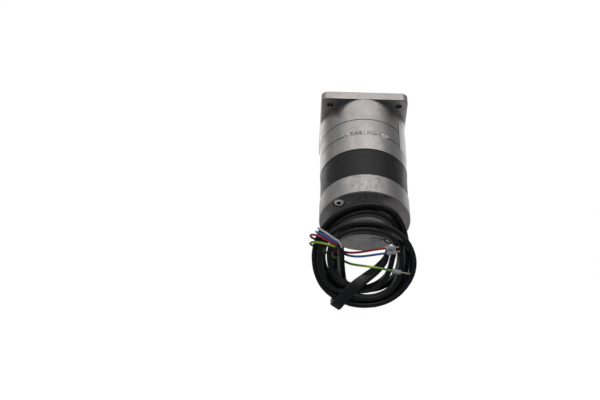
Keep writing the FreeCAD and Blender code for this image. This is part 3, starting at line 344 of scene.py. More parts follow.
def screw_head(name, tone, face, offset):
    """Bright zinc plate on a screw head, with near black painted shade inside the driving recess.

    offset is how far the screw stands from the shaft axis, both aside and up or down.
    """
    paint = Paint(name)
    bloom = paint.noise(0.9, 4)
    colour = paint.mix(paint.between(bloom, 0.35, 0.65), [c * 0.9 for c in tone], tone)
    aside = paint.maths("SUBTRACT", paint.maths("ABSOLUTE", paint.axis("X")), offset)
    above = paint.maths("SUBTRACT", paint.maths("ABSOLUTE", paint.axis("Z")), offset)
    squared = paint.maths("ADD", paint.maths("MULTIPLY", aside, aside),
                          paint.maths("MULTIPLY", above, above))
    inside = paint.between(squared, RECESS_OUTSIDE ** 2, RECESS_INSIDE ** 2)
    deep = paint.between(paint.axis("Y"), face + 0.1, face + 0.5)
    recess_shade = paint.maths("MULTIPLY", inside, deep)
    # painted shade: near black inside the driving recess
    colour = paint.mix(paint.maths("MULTIPLY", recess_shade, 0.95), colour, (0.004, 0.004, 0.004))
    paint.set("Base Color", colour)
    paint.set("Metallic", 0.2)
    paint.set("Roughness", paint.between(bloom, 0.3, 0.7, 0.2, 0.3))
    paint.bump(bloom, 0.2, 0.04)
    return paint.material


def moulded(name, tone, roughness, texture=0.6, depth=0.04):
    """Moulded or extruded plastic or rubber, with faint mottling and a fine skin texture."""
    paint = Paint(name)
    skin = paint.noise(texture, 4)
    dust = paint.noise(5, 5, distortion=0.5)
    colour = paint.mix(paint.between(dust, 0.4, 0.75, 0, 0.25), tone,
                       [min(1, c * 1.5 + 0.01) for c in tone])
    colour = paint.mix(paint.between(skin, 0.35, 0.65, 0.3, 0), colour, [c * 0.7 for c in tone])
    paint.set("Base Color", colour)
    paint.set("Roughness", paint.between(dust, 0.3, 0.7, roughness, roughness + 0.1))
    paint.bump(skin, 0.3, depth)
    return paint.material


def bronze(name, tone):
    """Sintered bronze: open pores with oil in them."""
    paint = Paint(name)
    pores = paint.noise(0.18, 2)
    tint = paint.noise(2.5, 4)
    colour = paint.mix(paint.between(tint, 0.35, 0.65), [c * 0.8 for c in tone], tone)
    colour = paint.mix(paint.between(pores, 0.6, 0.68, 0, 0.7), colour, [c * 0.35 for c in tone])
    paint.set("Base Color", colour)
    paint.set("Metallic", 1.0)
    paint.set("Roughness", paint.between(tint, 0.3, 0.7, 0.32, 0.45))
    paint.bump(pores, -0.5, 0.05)
    return paint.material


def enamelled_wire(name, tone, thickness):
    """Bundles of enamelled copper wire: fine ridges running round the bore."""
    paint = Paint(name)
    across = paint.node("ShaderNodeVectorMath", operation="LENGTH")
    flat = paint.node("ShaderNodeVectorMath", operation="MULTIPLY")
    flat.inputs[1].default_value = (1, 0, 1)
    paint.link(paint.place, flat.inputs[0])
    paint.link(flat.outputs[0], across.inputs[0])
    rows = paint.maths("MULTIPLY", paint.axis("Y"), 2 * math.pi / thickness)
    rings = paint.maths("MULTIPLY", across.outputs["Value"], 2 * math.pi / thickness)
    wander = paint.maths("MULTIPLY", paint.noise(3, 3), 5)
    ridge = paint.maths("ADD", paint.maths("SINE", paint.maths("ADD", rows, wander)),
                        paint.maths("SINE", paint.maths("ADD", rings, wander)))
    height = paint.between(ridge, -2, 2)
    paint.set("Base Color", paint.mix(height, [c * 0.45 for c in tone], tone))
    paint.set("Metallic", 0.9)
    paint.set("Roughness", 0.28)
    paint.set("Coat Weight", 0.6)
    paint.bump(height, 0.8, 0.15)
    return paint.material


def cable_jacket(name, tone):
    """Black PVC jacket: satin skin, faint scuffs along it and a dusting of lint."""
    paint = Paint(name)
    skin = paint.noise(0.7, 4)
    scuff = paint.noise(3.0, 6, distortion=1.5, rough=0.65)
    dust = paint.noise(9, 3)
    colour = paint.mix(paint.between(scuff, 0.58, 0.72, 0, 0.35), tone, [c * 2.2 for c in tone])
    colour = paint.mix(paint.between(dust, 0.5, 0.75, 0, 0.35), colour, [c * 1.6 for c in tone])
    paint.set("Base Color", colour)
    paint.set("Roughness", paint.between(scuff, 0.35, 0.7, 0.22, 0.36))
    paint.set("Specular IOR Level", 0.24)
    base = paint.bump(skin, 0.05, 0.02)
    paint.bump(scuff, 0.05, 0.1, base)
    return paint.material


# turns of the earth wire's stripe in one unit of UV, and how long that unit is
STRIPE_TURNS = 0.28
UV_UNIT = 10


def insulation(name, tone, second=None):
    """Glossy wire insulation. A second colour makes one stripe that winds slowly round."""
    paint = Paint(name)
    skin = paint.noise(0.5, 3)
    soil = paint.noise(3.5, 5)
    colour = paint.mix(paint.between(soil, 0.5, 0.75, 0, 0.3), tone, [c * 0.6 for c in tone])
    if second:
        uv = paint.split(paint.node("ShaderNodeUVMap").outputs[0])
        turn = paint.maths("ADD", uv["Y"], paint.maths("MULTIPLY", uv["X"], STRIPE_TURNS))
        band = paint.maths("ABSOLUTE", paint.maths("SUBTRACT", paint.maths("FRACT", turn), 0.5))
        colour = paint.mix(paint.between(band, 0.16, 0.13), colour, second)
    paint.set("Base Color", colour)
    paint.set("Roughness", paint.between(soil, 0.3, 0.7, 0.28, 0.40))
    paint.set("Coat Weight", 0.25)
    paint.bump(skin, 0.15, 0.02)
    return paint.material


def crimp_sleeve(name, tone):
    """Grey, slightly see-through plastic collar of a crimped wire end."""
    paint = Paint(name)
    cloud = paint.noise(1.6, 4)
    colour = paint.mix(paint.between(cloud, 0.35, 0.65), [c * 0.82 for c in tone], tone)
    paint.set("Base Color", colour)
    paint.set("Roughness", paint.between(cloud, 0.3, 0.7, 0.25, 0.4))
    paint.set("Transmission Weight", 0.25)
    paint.set("Subsurface Weight", 0.2)
    paint.set("Subsurface Scale", 0.6 * MM)
    paint.bump(cloud, 0.3, 0.05)
    return paint.material


def blank_film(name, tone):
    """Blank satin label film with soft creases and a dark line along its upper edge."""
    paint = Paint(name)
    creases = paint.noise(9, 5, distortion=1.0)
    specks = paint.noise(0.4, 2)
    colour = paint.mix(paint.between(creases, 0.35, 0.7), [c * 0.88 for c in tone], tone)
    colour = paint.mix(paint.between(specks, 0.66, 0.7, 0, 0.25), colour, [c * 0.55 for c in tone])
    rim = paint.between(paint.axis("Z"), label_top - 0.7, label_top - 0.4)
    colour = paint.mix(rim, colour, (0.03, 0.03, 0.032))
    paint.set("Base Color", colour)
    paint.set("Metallic", 0.55)
    paint.set("Roughness", paint.between(creases, 0.3, 0.7, 0.34, 0.46))
    paint.bump(creases, 0.35, 0.12)
    return paint.material


def torn_metal(name, tone, hollow_shade=0.12):
    """Bright broken metal: silvery peaks with painted shade in the hollows."""
    paint = Paint(name)
    crumbs = paint.noise(0.8, 5, distortion=1.0)
    # painted shade: the hollows of the crumbs are darkened to this share of the tone
    colour = paint.mix(paint.between(crumbs, 0.42, 0.58), [c * hollow_shade for c in tone], tone)
    paint.set("Base Color", colour)
    paint.set("Metallic", 0.35)
    paint.set("Roughness", paint.between(crumbs, 0.35, 0.65, 0.55, 0.3))
    paint.bump(crumbs, 0.8, 0.25)
    return paint.material


CAST_TONE = (0.50, 0.485, 0.478)
LOOKS = {
    "die_cast": cast_metal("die_cast_skin", CAST_TONE, seams=(gearbox_joint, shield_joint),
                           holes=corner_holes),
    "black_laminations": sheet_stack("varnished_sheets", (0.007, 0.0075, 0.008), pitch=0.5,
                                     gloss=0.30, shaded_ends=(stack_low.y, stack_high.y)),
    "rotor_laminations": sheet_stack("ground_sheets", (0.20, 0.20, 0.21), pitch=0.5, gloss=0.34),
    "gear_steel": machined("cut_gear_steel", (0.42, 0.42, 0.43), 0.26, stretch=(1, 6, 1),
                           grain=0.2),
    "shaft_steel": machined("ground_shaft", (0.55, 0.55, 0.56), 0.20, stretch=(5, 0.4, 5),
                            grain=0.3),
    "bearing_steel": machined("polished_bearing", (0.66, 0.66, 0.67), 0.10,
                              stretch=(5, 0.5, 5), grain=0.2, smudge=0.12),
    "cage_plastic": moulded("ball_cage_plastic", (0.50, 0.38, 0.20), 0.42),
    "bush_bronze": bronze("sintered_bronze", (0.55, 0.36, 0.16)),
    "copper_winding": enamelled_wire("enamelled_copper", (0.66, 0.25, 0.09), 0.6),
    "cage_aluminium": machined("cast_rotor_cage", (0.68, 0.68, 0.69), 0.36, grain=0.5),
    "zinc_screw": machined("zinc_plate", (0.86, 0.88, 0.89), 0.26, grain=0.35, smudge=0.2,
                           wear=0.6),
    "spring_steel": machined("phosphated_spring", (0.10, 0.10, 0.11), 0.38),
    "seal_rubber": moulded("nitrile_rubber", (0.022, 0.022, 0.024), 0.5, texture=0.5,
                           depth=0.05),
    "cable_pvc": cable_jacket("pvc_jacket", (0.0100, 0.0106, 0.0114)),
    "wire_white": insulation("white_insulation", (0.40, 0.385, 0.385)),
    "wire_blue": insulation("blue_insulation", (0.018, 0.075, 0.27)),
    "wire_red": insulation("red_insulation", (0.27, 0.010, 0.016)),
    "wire_earth": insulation("earth_insulation", (0.075, 0.24, 0.022), (0.34, 0.42, 0.04)),
    "sleeve_grey": crimp_sleeve("grey_sleeve", (0.38, 0.38, 0.395)),
    "tinned_copper": machined("tinned_strand", (0.56, 0.49, 0.41), 0.32, grain=0.3),
    "label_film": blank_film("blank_label", (0.60, 0.605, 0.615)),
}
REAR_CAP = cast_metal("die_cast_rear", CAST_TONE, top_patch=14.0, smooth_face=cap_face)
SCREW_HEAD = screw_head("plated_screw_head", (0.93, 0.94, 0.95), screw_face, screw_offset)
BROKEN = torn_metal("torn_edge", (0.93, 0.90, 0.88))
FLASH = torn_metal("moulding_flash", (0.93, 0.90, 0.88), 0.6)


def dress(thing, material):
    """Gives an object one material, whatever it had before."""
    thing.data.materials.clear()
    thing.data.materials.append(material)


for part in frame["record"]["subparts"]:
    dress(frame["nodes"][part["node"]], LOOKS[part["material_slot"]])
dress(frame["nodes"]["rear_end_shield"], REAR_CAP)
dress(frame["nodes"]["motor_screws"], SCREW_HEAD)


# ---------------------------------------------------------------- mesh helpers
def new_piece(name, vertices, faces, material, slot, flat_ends=False, uvs=None):
    """A mesh object that rides on the housing. Points come in millimetres.

    With flat_ends the last two faces are cut ends and aren't shaded smooth.
    """
    mesh = bpy.data.meshes.new(name)
    mesh.from_pydata([tuple(Vector(v) * MM) for v in vertices], [], faces)
    mesh.materials.append(material)
    for polygon in mesh.polygons:
        polygon.use_smooth = not (flat_ends and polygon.index >= len(faces) - 2)
    if uvs is not None:
        layer = mesh.uv_layers.new(name="UVMap")
        for loop in mesh.loops:
            layer.data[loop.index].uv = uvs[loop.vertex_index]
    mesh.update()
    made = bpy.data.objects.new(name, mesh)
    bpy.context.scene.collection.objects.link(made)
    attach(made, HOUSING)
    return made


def curve_through(keys, steps):
    """A smooth curve through rows of numbers, steps points to each gap (centripetal knots)."""
    rows = [Vector(key) for key in keys]
    rows.insert(0, rows[0] * 2 - rows[1])
    rows.append(rows[-1] * 2 - rows[-2])
    made = []
    for i in range(1, len(rows) - 2):
        a, b, c, d = rows[i - 1:i + 3]
        first = max((b - a).length, 1e-6) ** 0.5
        middle = max((c - b).length, 1e-6) ** 0.5
        last = max((d - c).length, 1e-6) ** 0.5
        leave = ((b - a) / first - (c - a) / (first + middle) + (c - b) / middle) * middle
        arrive = ((c - b) / middle - (d - b) / (middle + last) + (d - c) / last) * middle
        for k in range(steps):
            t = k / steps
            made.append(b * (2 * t ** 3 - 3 * t ** 2 + 1) + leave * (t ** 3 - 2 * t ** 2 + t)
                        + c * (-2 * t ** 3 + 3 * t ** 2) + arrive * (t ** 3 - t ** 2))
    made.append(rows[-2])
    return made


def even_spacing(points, gap):
    """The same curve with its points gap mm apart. The first three numbers are the place."""
    made = [points[0]]
    left = gap
    for start, end in zip(points, points[1:]):
        length = (Vector(end[:3]) - Vector(start[:3])).length
        done = 0.0
        while length - done >= left:
            done += left
            made.append(start.lerp(end, done / length))
            left = gap
        left -= length - done
    if (Vector(made[-1][:3]) - Vector(points[-1][:3])).length > 0.3 * gap:
        made.append(points[-1])
    return made


def tube_faces(rows, count):
    """Faces between rings of count points, with a face at each end."""
    faces = []
    for i in range(rows - 1):
        for k in range(count):
            a = i * count + k
            b = i * count + (k + 1) % count
            faces.append((a, b, b + count, a + count))
    faces.append(tuple(reversed(range(count))))
    faces.append(tuple(range((rows - 1) * count, rows * count)))
    return faces


def heading(path, i):
    """Which way a path runs at one of its points."""
    return (path[min(i + 1, len(path) - 1)] - path[max(i - 1, 0)]).normalized()


def axes_at(path, wides, i):
    """Ahead, wide and thin directions at point i, square to one another."""
    ahead = heading(path, i)
    wide = (wides[i] - ahead * wides[i].dot(ahead)).normalized()
    return ahead, wide, ahead.cross(wide)


def sweep(path, wides, section):
    """Vertices, faces and UVs of a closed solid: section(i) gives the outline at point i.

    An outline point is (along the wide direction, across it), in millimetres.
    """
    vertices = []
    uvs = []
    travelled = 0.0
    count = len(section(0))
    for i, here in enumerate(path):
        ahead, wide, thin = axes_at(path, wides, i)
        travelled += (here - path[max(i - 1, 0)]).length
        for k, (s, t) in enumerate(section(i)):
            vertices.append(here + wide * s + thin * t)
            uvs.append((travelled / UV_UNIT, k / count))
    return vertices, tube_faces(len(path), count), uvs


def joined(solids):
    """Several (vertices, faces, uvs) as one."""
    vertices = []
    faces = []
    uvs = []
    for some_vertices, some_faces, some_uvs in solids:
        shift = len(vertices)
        vertices += some_vertices
        uvs += some_uvs
        faces += [tuple(index + shift for index in face) for face in some_faces]
    return vertices, faces, uvs


def circle(radius, sides):
    return [(radius * math.cos(2 * math.pi * k / sides), radius * math.sin(2 * math.pi * k / sides))
            for k in range(sides)]


FIRST_SIDE = Vector((0.3, 0.2, 1))


def steady_sides(path):
    """A side direction for each point of a path, carried along without twist."""
    side = FIRST_SIDE.normalized()
    sides = []
    for i in range(len(path)):
        ahead = heading(path, i)
        side = (side - ahead * side.dot(ahead)).normalized()
        sides.append(side)
    return sides


# ---------------------------------------------------------------- the leaning coil's own axes
COIL_ASIDE = 1.2
COIL_BEHIND = 31.3
COIL_DROP = 6.6
COIL_SLOPE = math.radians(45.8)
coil_centre = Vector((COIL_ASIDE, cap_face - COIL_BEHIND, -COIL_DROP))
ACROSS = Vector((1, 0, 0))
UP_SLOPE = Vector((0, math.cos(COIL_SLOPE), math.sin(COIL_SLOPE)))
OUT = Vector((0, -math.sin(COIL_SLOPE), math.cos(COIL_SLOPE)))


def on_slope(across, up, out):
    """A place on the coil: across, up the slope and out from it, in millimetres."""
    return coil_centre + ACROSS * across + UP_SLOPE * up + OUT * out


def direction(across, up, out):
    return (ACROSS * across + UP_SLOPE * up + OUT * out).normalized()


# ---------------------------------------------------------------- flat supply cable
CABLE_WIDE = 9.2
CABLE_THICK = 4.0
CABLE_CORNER = 1.3
CORE_COUNT = 4
RIB_DEPTH = 0.10
JACKET_STEPS = 16
CORNER_STEPS = 5

# The cable's lie from the grommet down behind the coil: place, then wide direction.
exit_run = [
    (cable_exit + Vector((0, 4, 0)), ACROSS),
    (Vector((cable_exit.x, cap_face - 3, cable_exit.z)), ACROSS),
    (Vector((cable_exit.x, cap_face - 11, cable_exit.z - 2)), ACROSS),
    (Vector((cable_exit.x + 0.4, cap_face - 22, cable_exit.z - 9.5)), ACROSS),
    (on_slope(-22.7, -15.3, -10.7), direction(0.95, 0, 0.3)),
    (on_slope(-16.2, -25.0, -8.8), direction(0.8, 0, 0.6)),
]
# Turns of the coil, counter-clockwise: degrees turned, radius, height out from the slope.
TURNS = [
    (258, 27.3, -6.6), (285, 27.0, -1.5), (310, 27.2, 3.2), (330, 27.6, 4.6), (362, 27.4, 4.6),
    (380, 28.4, 4.6), (393, 30.6, 4.6), (405, 32.7, 4.6), (420, 35.2, 4.6), (435, 36.2, 4.6),
    (450, 36.5, 4.6), (480, 36.2, 4.6), (510, 36.2, 4.6), (540, 36.3, 4.6), (560, 35.0, 4.6),
    (577, 33.2, 4.6), (600, 32.2, 4.6), (630, 33.2, 4.6), (660, 33.8, 4.6), (690, 33.6, 4.6),
    (722, 32.9, 4.6), (740, 33.8, 4.6), (753, 35.8, 5.0), (765, 38.4, 5.3), (780, 41.8, 6.0),
    (795, 42.9, 6.2), (810, 42.6, 6.2), (825, 42.2, 6.0), (840, 42.3, 6.0), (870, 42.5, 6.4),
    (885, 42.6, 7.6), (900, 42.7, 9.0), (930, 42.2, 11.5), (945, 40.8, 12.8), (957, 39.4, 13.8),
    (972, 38.3, 14.4),
    (990, 37.2, 14.4), (1020, 37.2, 14.4), (1050, 37.6, 14.4), (1065, 37.8, 14.4),
    (1080, 37.2, 14.4), (1095, 35.6, 14.4), (1110, 33.6, 14.4), (1125, 31.6, 14.4),
    (1140, 30.0, 14.4), (1155, 28.8, 14.4), (1170, 28.5, 14.4), (1185, 29.2, 14.4),
    (1200, 31.2, 14.4), (1215, 33.6, 14.4), (1230, 36.2, 14.4), (1245, 38.0, 14.4),
    (1260, 38.6, 14.4), (1290, 37.9, 14.4), (1305, 35.8, 14.4), (1320, 34.0, 14.4),
    (1335, 32.8, 14.4), (1350, 31.9, 14.4), (1380, 31.6, 14.4), (1395, 30.8, 14.4),
    (1410, 29.2, 14.4), (1425, 27.9, 14.4), (1440, 27.0, 14.4), (1455, 26.9, 14.4),
    (1470, 26.3, 14.4), (1485, 25.2, 14.4), (1500, 24.2, 14.4), (1515, 23.3, 14.4),
    (1530, 23.1, 14.4), (1545, 23.8, 14.4), (1560, 25.4, 14.4), (1575, 27.4, 14.4),
    (1590, 29.8, 14.4), (1605, 31.0, 14.4), (1620, 30.6, 14.4), (1640, 29.8, 14.4),
    (1657, 28.8, 14.4), (1680, 26.4, 14.4), (1710, 24.4, 14.4), (1740, 22.0, 14.2),
    (1765, 20.5, 14.2),
]
# The flat cable leans outward in the coil, most near the top, so that its inner face shows.
COIL_LEAN = math.radians(10)
TOP_LEAN = math.radians(20)
TOP_ANGLE = math.radians(100)
INNER_LEAN = math.radians(24)
# degrees turned where the inner lean begins, and how many degrees each change of lean takes
INNER_START = 1640
INNER_CHANGE = 50
UPRIGHT_CHANGE = 40
TOP_CHANGE = 80
# share of the top's lean that the inner turns keep
TOP_LEAST = 0.3
POINT_GAP = 1.2
# The end folds back as a strap over the coil, passes round it and comes up inside.
strap_run = [
    (on_slope(19.2, -4.5, 14.2), OUT),
    (on_slope(20.2, 0.5, 14.0), OUT),
    (on_slope(21.1, 4.4, 14.0), OUT),
    (on_slope(20.5, 7.2, 14.0), OUT),
    (on_slope(18.5, 8.2, 14.2), OUT),
    (on_slope(16.6, 6.8, 14.4), OUT),
    (on_slope(15.6, 3.4, 14.6), OUT),
    (on_slope(13.6, -1.2, 15.0), direction(0.2, -0.2, 0.95)),
    (on_slope(7.6, -8.2, 16.0), direction(0.32, -0.40, 0.86)),
    (on_slope(-1.0, -14.9, 18.2), direction(0.45, -0.60, 0.66)),
    (on_slope(-9.8, -21.6, 21.0), direction(0.60, -0.74, 0.22)),
    (on_slope(-17.0, -28.6, 21.6), direction(0.74, -0.67, 0.0)),
    (on_slope(-21.6, -34.2, 21.7), direction(0.82, -0.57, 0.0)),
    (on_slope(-24.1, -37.7, 19.5), direction(0.85, -0.53, 0.0)),
    (on_slope(-24.7, -38.7, 14.0), direction(0.85, -0.53, 0.0)),
    (on_slope(-24.6, -38.5, 7.0), direction(0.85, -0.53, 0.0)),
    (on_slope(-24.3, -37.7, 1.2), direction(0.85, -0.53, 0.0)),
    (on_slope(-23.1, -34.9, -2.6), direction(0.85, -0.50, 0.0)),
    (on_slope(-21.4, -29.5, -3.3), direction(0.85, -0.48, 0.0)),
    (on_slope(-20.6, -24.0, -3.2), direction(0.85, -0.35, 0.12)),
    (on_slope(-20.2, -18.2, -1.2), direction(0.72, -0.15, 0.6)),
    (on_slope(-20.4, -11.0, 3.4), direction(0.35, 0, 0.93)),
    (on_slope(-21.2, -3.0, 8.8), direction(0.25, 0, 0.97)),
    (on_slope(-21.7, 4.6, 13.2), direction(0.22, 0, 0.97)),
    (on_slope(-22.3, 10.1, 15.2), direction(0.20, 0.05, 0.97)),
]


def cable_path():
    """Every point of the cable's centre line with its wide direction, evenly spaced."""
    keys = [(*place, *wide) for place, wide in exit_run]
    last_degrees = TURNS[-1][0]
    for degrees, radius, height in curve_through(TURNS, 2):
        angle = math.radians(degrees)
        outward = ACROSS * math.cos(angle) + UP_SLOPE * math.sin(angle)
        place = coil_centre + outward * radius + OUT * height
        inner = min(1.0, max(0.0, (degrees - INNER_START) / INNER_CHANGE))
        upright = min(1.0, max(0.0, (last_degrees - degrees) / UPRIGHT_CHANGE))
        ease = min(1.0, max(TOP_LEAST, (INNER_START - degrees) / TOP_CHANGE))
        lean = COIL_LEAN + TOP_LEAN * ease * max(0.0, math.cos(angle - TOP_ANGLE))
        lean = (lean + (INNER_LEAN - lean) * inner) * upright
        wide = OUT * math.cos(lean) + outward * math.sin(lean)
        keys.append((*place, *wide))
    keys += [(*place, *wide) for place, wide in strap_run]
    rows = even_spacing(curve_through(keys, 8), POINT_GAP)
    return [Vector(row[:3]) for row in rows], [Vector(row[3:]) for row in rows]


def jacket_outline():
    """Rounded flat section with a shallow rib over each core."""
    straight = CABLE_WIDE / 2 - CABLE_CORNER
    half = CABLE_THICK / 2
    outline = []

    def rib(s):
        across = math.pi * CORE_COUNT * (s + CABLE_WIDE / 2) / CABLE_WIDE
        return RIB_DEPTH * (abs(math.sin(across)) - 1)

    for sign in (1, -1):
        for k in range(JACKET_STEPS + 1):
            s = sign * (straight - 2 * straight * k / JACKET_STEPS)
            outline.append((s, sign * (half + rib(s))))
        for k in range(1, CORNER_STEPS):
            turn = math.pi * k / CORNER_STEPS
            s = -sign * (straight + CABLE_CORNER * math.sin(turn))
            outline.append((s, sign * (half + rib(straight)) * math.cos(turn)))
    return outline


cable_places, cable_wides = cable_path()
jacket = jacket_outline()
vertices, faces, _ = sweep(cable_places, cable_wides, lambda i: jacket)
cable = new_piece("supply_cable", vertices, faces, LOOKS["cable_pvc"], "cable_pvc",
                  flat_ends=True)
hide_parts("flat_cable")

# ---------------------------------------------------------------- the four wires
WIRE_RADIUS = 0.95
WIRE_SIDES = 14
jacket_end = cable_places[-1]
jacket_ahead = (cable_places[-1] - cable_places[-3]).normalized()
jacket_wide = (cable_wides[-1] - jacket_ahead * cable_wides[-1].dot(jacket_ahead)).normalized()
CORE_PITCH = 2.15
CORE_INSIDE = 1.0
CORE_STRAIGHT = 1.2
WIRE_POINT_GAP = 0.6
# how the wires are pushed apart: rounds, space left between them, and how much they smooth out
SETTLE_ROUNDS = 60
CLEARANCE = 0.05
SMOOTHING = 0.4
NEAR_SECTION = 0.7
# points that stay in place at a wire's start and at its end
SETTLE_FROM = 4
SETTLE_BACK = 8

# Places each wire passes, from the jacket outward: over the coil, round it, and back inside.
WIRE_ROUTES = {
    "white": [
        (-22.8, 12.4, 19.6), (-24.6, 14.1, 20.6), (-27.4, 16.1, 20.6), (-31.0, 18.6, 20.5),
        (-34.0, 20.8, 20.1), (-37.2, 22.4, 18), (-39.2, 23.0, 13), (-39.4, 22.6, 4),
        (-35.5, 20.4, -1.8), (-28, 17.2, -1.9), (-21.5, 16.0, 0.5), (-17.1, 15.3, 3),
        (-10.5, 14.7, 5), (-3.1, 14.7, 6.6), (5.2, 15.2, 8),
    ],
    "blue": [
        (-23.6, 12.2, 17.6), (-26.0, 13.0, 20.3), (-29.6, 15.2, 20.7), (-33.0, 17.2, 20.6),
        (-36.4, 19.1, 20.3), (-40.2, 20.5, 18), (-42.1, 20.9, 12), (-41.4, 20.0, 4),
        (-38.5, 17.4, -1.8), (-30, 11, -1.9), (-24, 6.4, 2.5), (-19.5, 3.7, 7), (-15.5, 1.9, 10),
        (-9.0, 1.5, 13), (-1.1, 2.6, 16), (7.5, 4.5, 19.2), (16.9, 6.2, 21.2),
    ],
    "red": [
        (-24.2, 12.4, 15.6), (-25.6, 12.0, 19.0), (-29.0, 12.8, 20.6), (-33.0, 14.8, 20.6),
        (-37.0, 17.0, 20.7), (-41.2, 18.8, 20.4), (-45.2, 19.3, 18), (-47.0, 18.0, 13),
        (-45.9, 15.6, 7), (-42.6, 13.6, 1.0), (-38, 11.4, -1.9), (-31, 7.8, -1.9),
        (-27.4, 5.5, 1), (-25.7, 4.3, 3), (-19.2, 3.8, 7.2), (-10.5, 4.4, 11), (-1.9, 6.2, 15),
        (7.4, 8.6, 19.0), (16.2, 10.0, 21.2),
    ],
    "earth": [
        (-24.8, 12.4, 13.2), (-25.4, 11.4, 17.6), (-27.6, 10.4, 20.4), (-31.0, 11.1, 20.8),
        (-36.6, 12.8, 20.9), (-41.3, 13.5, 20.4), (-45.3, 13.0, 18), (-47.0, 11.5, 13),
        (-46.2, 9.6, 7), (-43.2, 8.0, 1.2), (-38, 5.4, -1.9), (-32, 2.0, -1.9), (-28.4, 0.0, 0),
        (-24.8, -1.3, 1.2), (-21.0, -2.7, 2.6), (-17.6, -3.8, 6), (-13.2, -4.9, 11),
        (-6.8, -5.1, 17), (-1.8, -5.2, 20.2), (3.2, -5.6, 21.6), (9.9, -6.5, 21.5),
        (21.4, -8.5, 21.3),
    ],
}


def wire_line(colour):
    """Centre line of one wire, starting just inside the jacket."""
    order = list(WIRE_ROUTES).index(colour)
    start = jacket_end + jacket_wide * CORE_PITCH * ((CORE_COUNT - 1) / 2 - order)
    places = [start - jacket_ahead * CORE_INSIDE, start + jacket_ahead * CORE_STRAIGHT]
    places += [on_slope(*spot) for spot in WIRE_ROUTES[colour]]
    return even_spacing(curve_through(places, 10), WIRE_POINT_GAP)


def keep_clear(spot, cable_tree, half_wide, half_thick):
    """The step that takes a place on a wire half way out of the cable's section."""
    for near, i, _ in cable_tree.find_range(spot, half_wide):
        ahead, wide, thin = axes_at(cable_places, cable_wides, i)
        offset = spot - near
        s = offset.dot(wide)
        t = offset.dot(thin)
        beside = abs(offset.dot(ahead)) > NEAR_SECTION
        if beside or abs(s) >= half_wide or abs(t) >= half_thick:
            continue
        if half_wide - abs(s) < half_thick - abs(t):
            return wide * math.copysign((half_wide - abs(s)) / 2, s)
        return thin * math.copysign((half_thick - abs(t)) / 2, t)
    return Vector()


def settle(lines):
    """Pushes the wires off one another and off the cable, and keeps them smooth.

    The first points of a line stay in the jacket, the last ones in the sleeve.
    """
    cable_tree = KDTree(len(cable_places))
    for i, spot in enumerate(cable_places):
        cable_tree.insert(spot, i)
    cable_tree.balance()
    gap = 2 * WIRE_RADIUS + CLEARANCE
    half_wide = CABLE_WIDE / 2 + WIRE_RADIUS
    half_thick = CABLE_THICK / 2 + WIRE_RADIUS + CLEARANCE
    for _ in range(SETTLE_ROUNDS):
        moves = [[Vector() for _ in line] for line in lines]
        for a, first in enumerate(lines):
            wire_tree = KDTree(len(first))
            for i, spot in enumerate(first):
                wire_tree.insert(spot, i)
            wire_tree.balance()
            for b, second in enumerate(lines):
                if a == b:
                    continue
                for k, spot in enumerate(second):
                    near, _, distance = wire_tree.find(spot)
                    if distance < gap:
                        moves[b][k] += (spot - near).normalized() * (gap - distance) / 2
            for k, spot in enumerate(first):
                moves[a][k] += keep_clear(spot, cable_tree, half_wide, half_thick)
        for line, shifts in zip(lines, moves):
            free = range(SETTLE_FROM, len(line) - SETTLE_BACK)
            for k in free:
                line[k] += shifts[k]
            smooth = [line[k].lerp((line[k - 1] + line[k + 1]) / 2, SMOOTHING) for k in free]
            line[SETTLE_FROM:len(line) - SETTLE_BACK] = smooth


wire_lines = {colour: wire_line(colour) for colour in WIRE_ROUTES}
settle(list(wire_lines.values()))
tube = circle(WIRE_RADIUS, WIRE_SIDES)
for colour, line in wire_lines.items():
    slot_name = f"wire_{colour}"
    vertices, faces, uvs = sweep(line, steady_sides(line), lambda i: tube)
    made = new_piece(f"{colour}_core", vertices, faces, LOOKS[slot_name], slot_name,
                     flat_ends=True, uvs=uvs)
    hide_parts(f"{colour}_wire")

# ---------------------------------------------------------------- crimp sleeves and bare strands
SLEEVE_RADIUS = 1.85
SLEEVE_MOUTH = 2.0
SLEEVE_LENGTH = 7.2
SLEEVE_OVERLAP = 1.6
SLEEVE_SIDES = 20
SLEEVE_STEPS = 18
# shares of the sleeve's length that flare and that round off, and how much the end draws in
MOUTH_SHARE = 0.25
ROUNDED_SHARE = 0.1
ROUNDED_BY = 0.35
STRAND_RADIUS = 0.24
STRAND_SIDES = 8
STRAND_SPLAY = 0.25
STRAND_STEPS_PER_MM = 5
STRAND_INSIDE = 0.6
STRAND_COUNT = 6
STRAND_TWIST = 5.5
# how far each tip reaches out of its sleeve, and how far it droops
TIP_REACH = {"white": (4.5, 0.2), "blue": (3.4, -0.5), "red": (3.0, -0.4), "earth": (7.6, -1.2)}


def sleeve_solid(line):
    """A collar with a flared mouth towards the wire and a rounded far end."""
    ahead = (line[-1] - line[-4]).normalized()
    start = line[-1] - ahead * SLEEVE_OVERLAP
    shares = [k / SLEEVE_STEPS for k in range(SLEEVE_STEPS + 1)]
    path = [start + ahead * SLEEVE_LENGTH * share for share in shares]
    radii = []
    for share in shares:
        flare = max(0.0, 1 - share / MOUTH_SHARE)
        radius = SLEEVE_RADIUS + (SLEEVE_MOUTH - SLEEVE_RADIUS) * flare
        radius += 0.05 * math.sin(share * 9)
        shut = max(0.0, (share - 1 + ROUNDED_SHARE) / ROUNDED_SHARE)
        radius *= 1 - ROUNDED_BY * shut ** 2
        radii.append(radius)
    return sweep(path, steady_sides(path), lambda i: circle(radii[i], SLEEVE_SIDES))


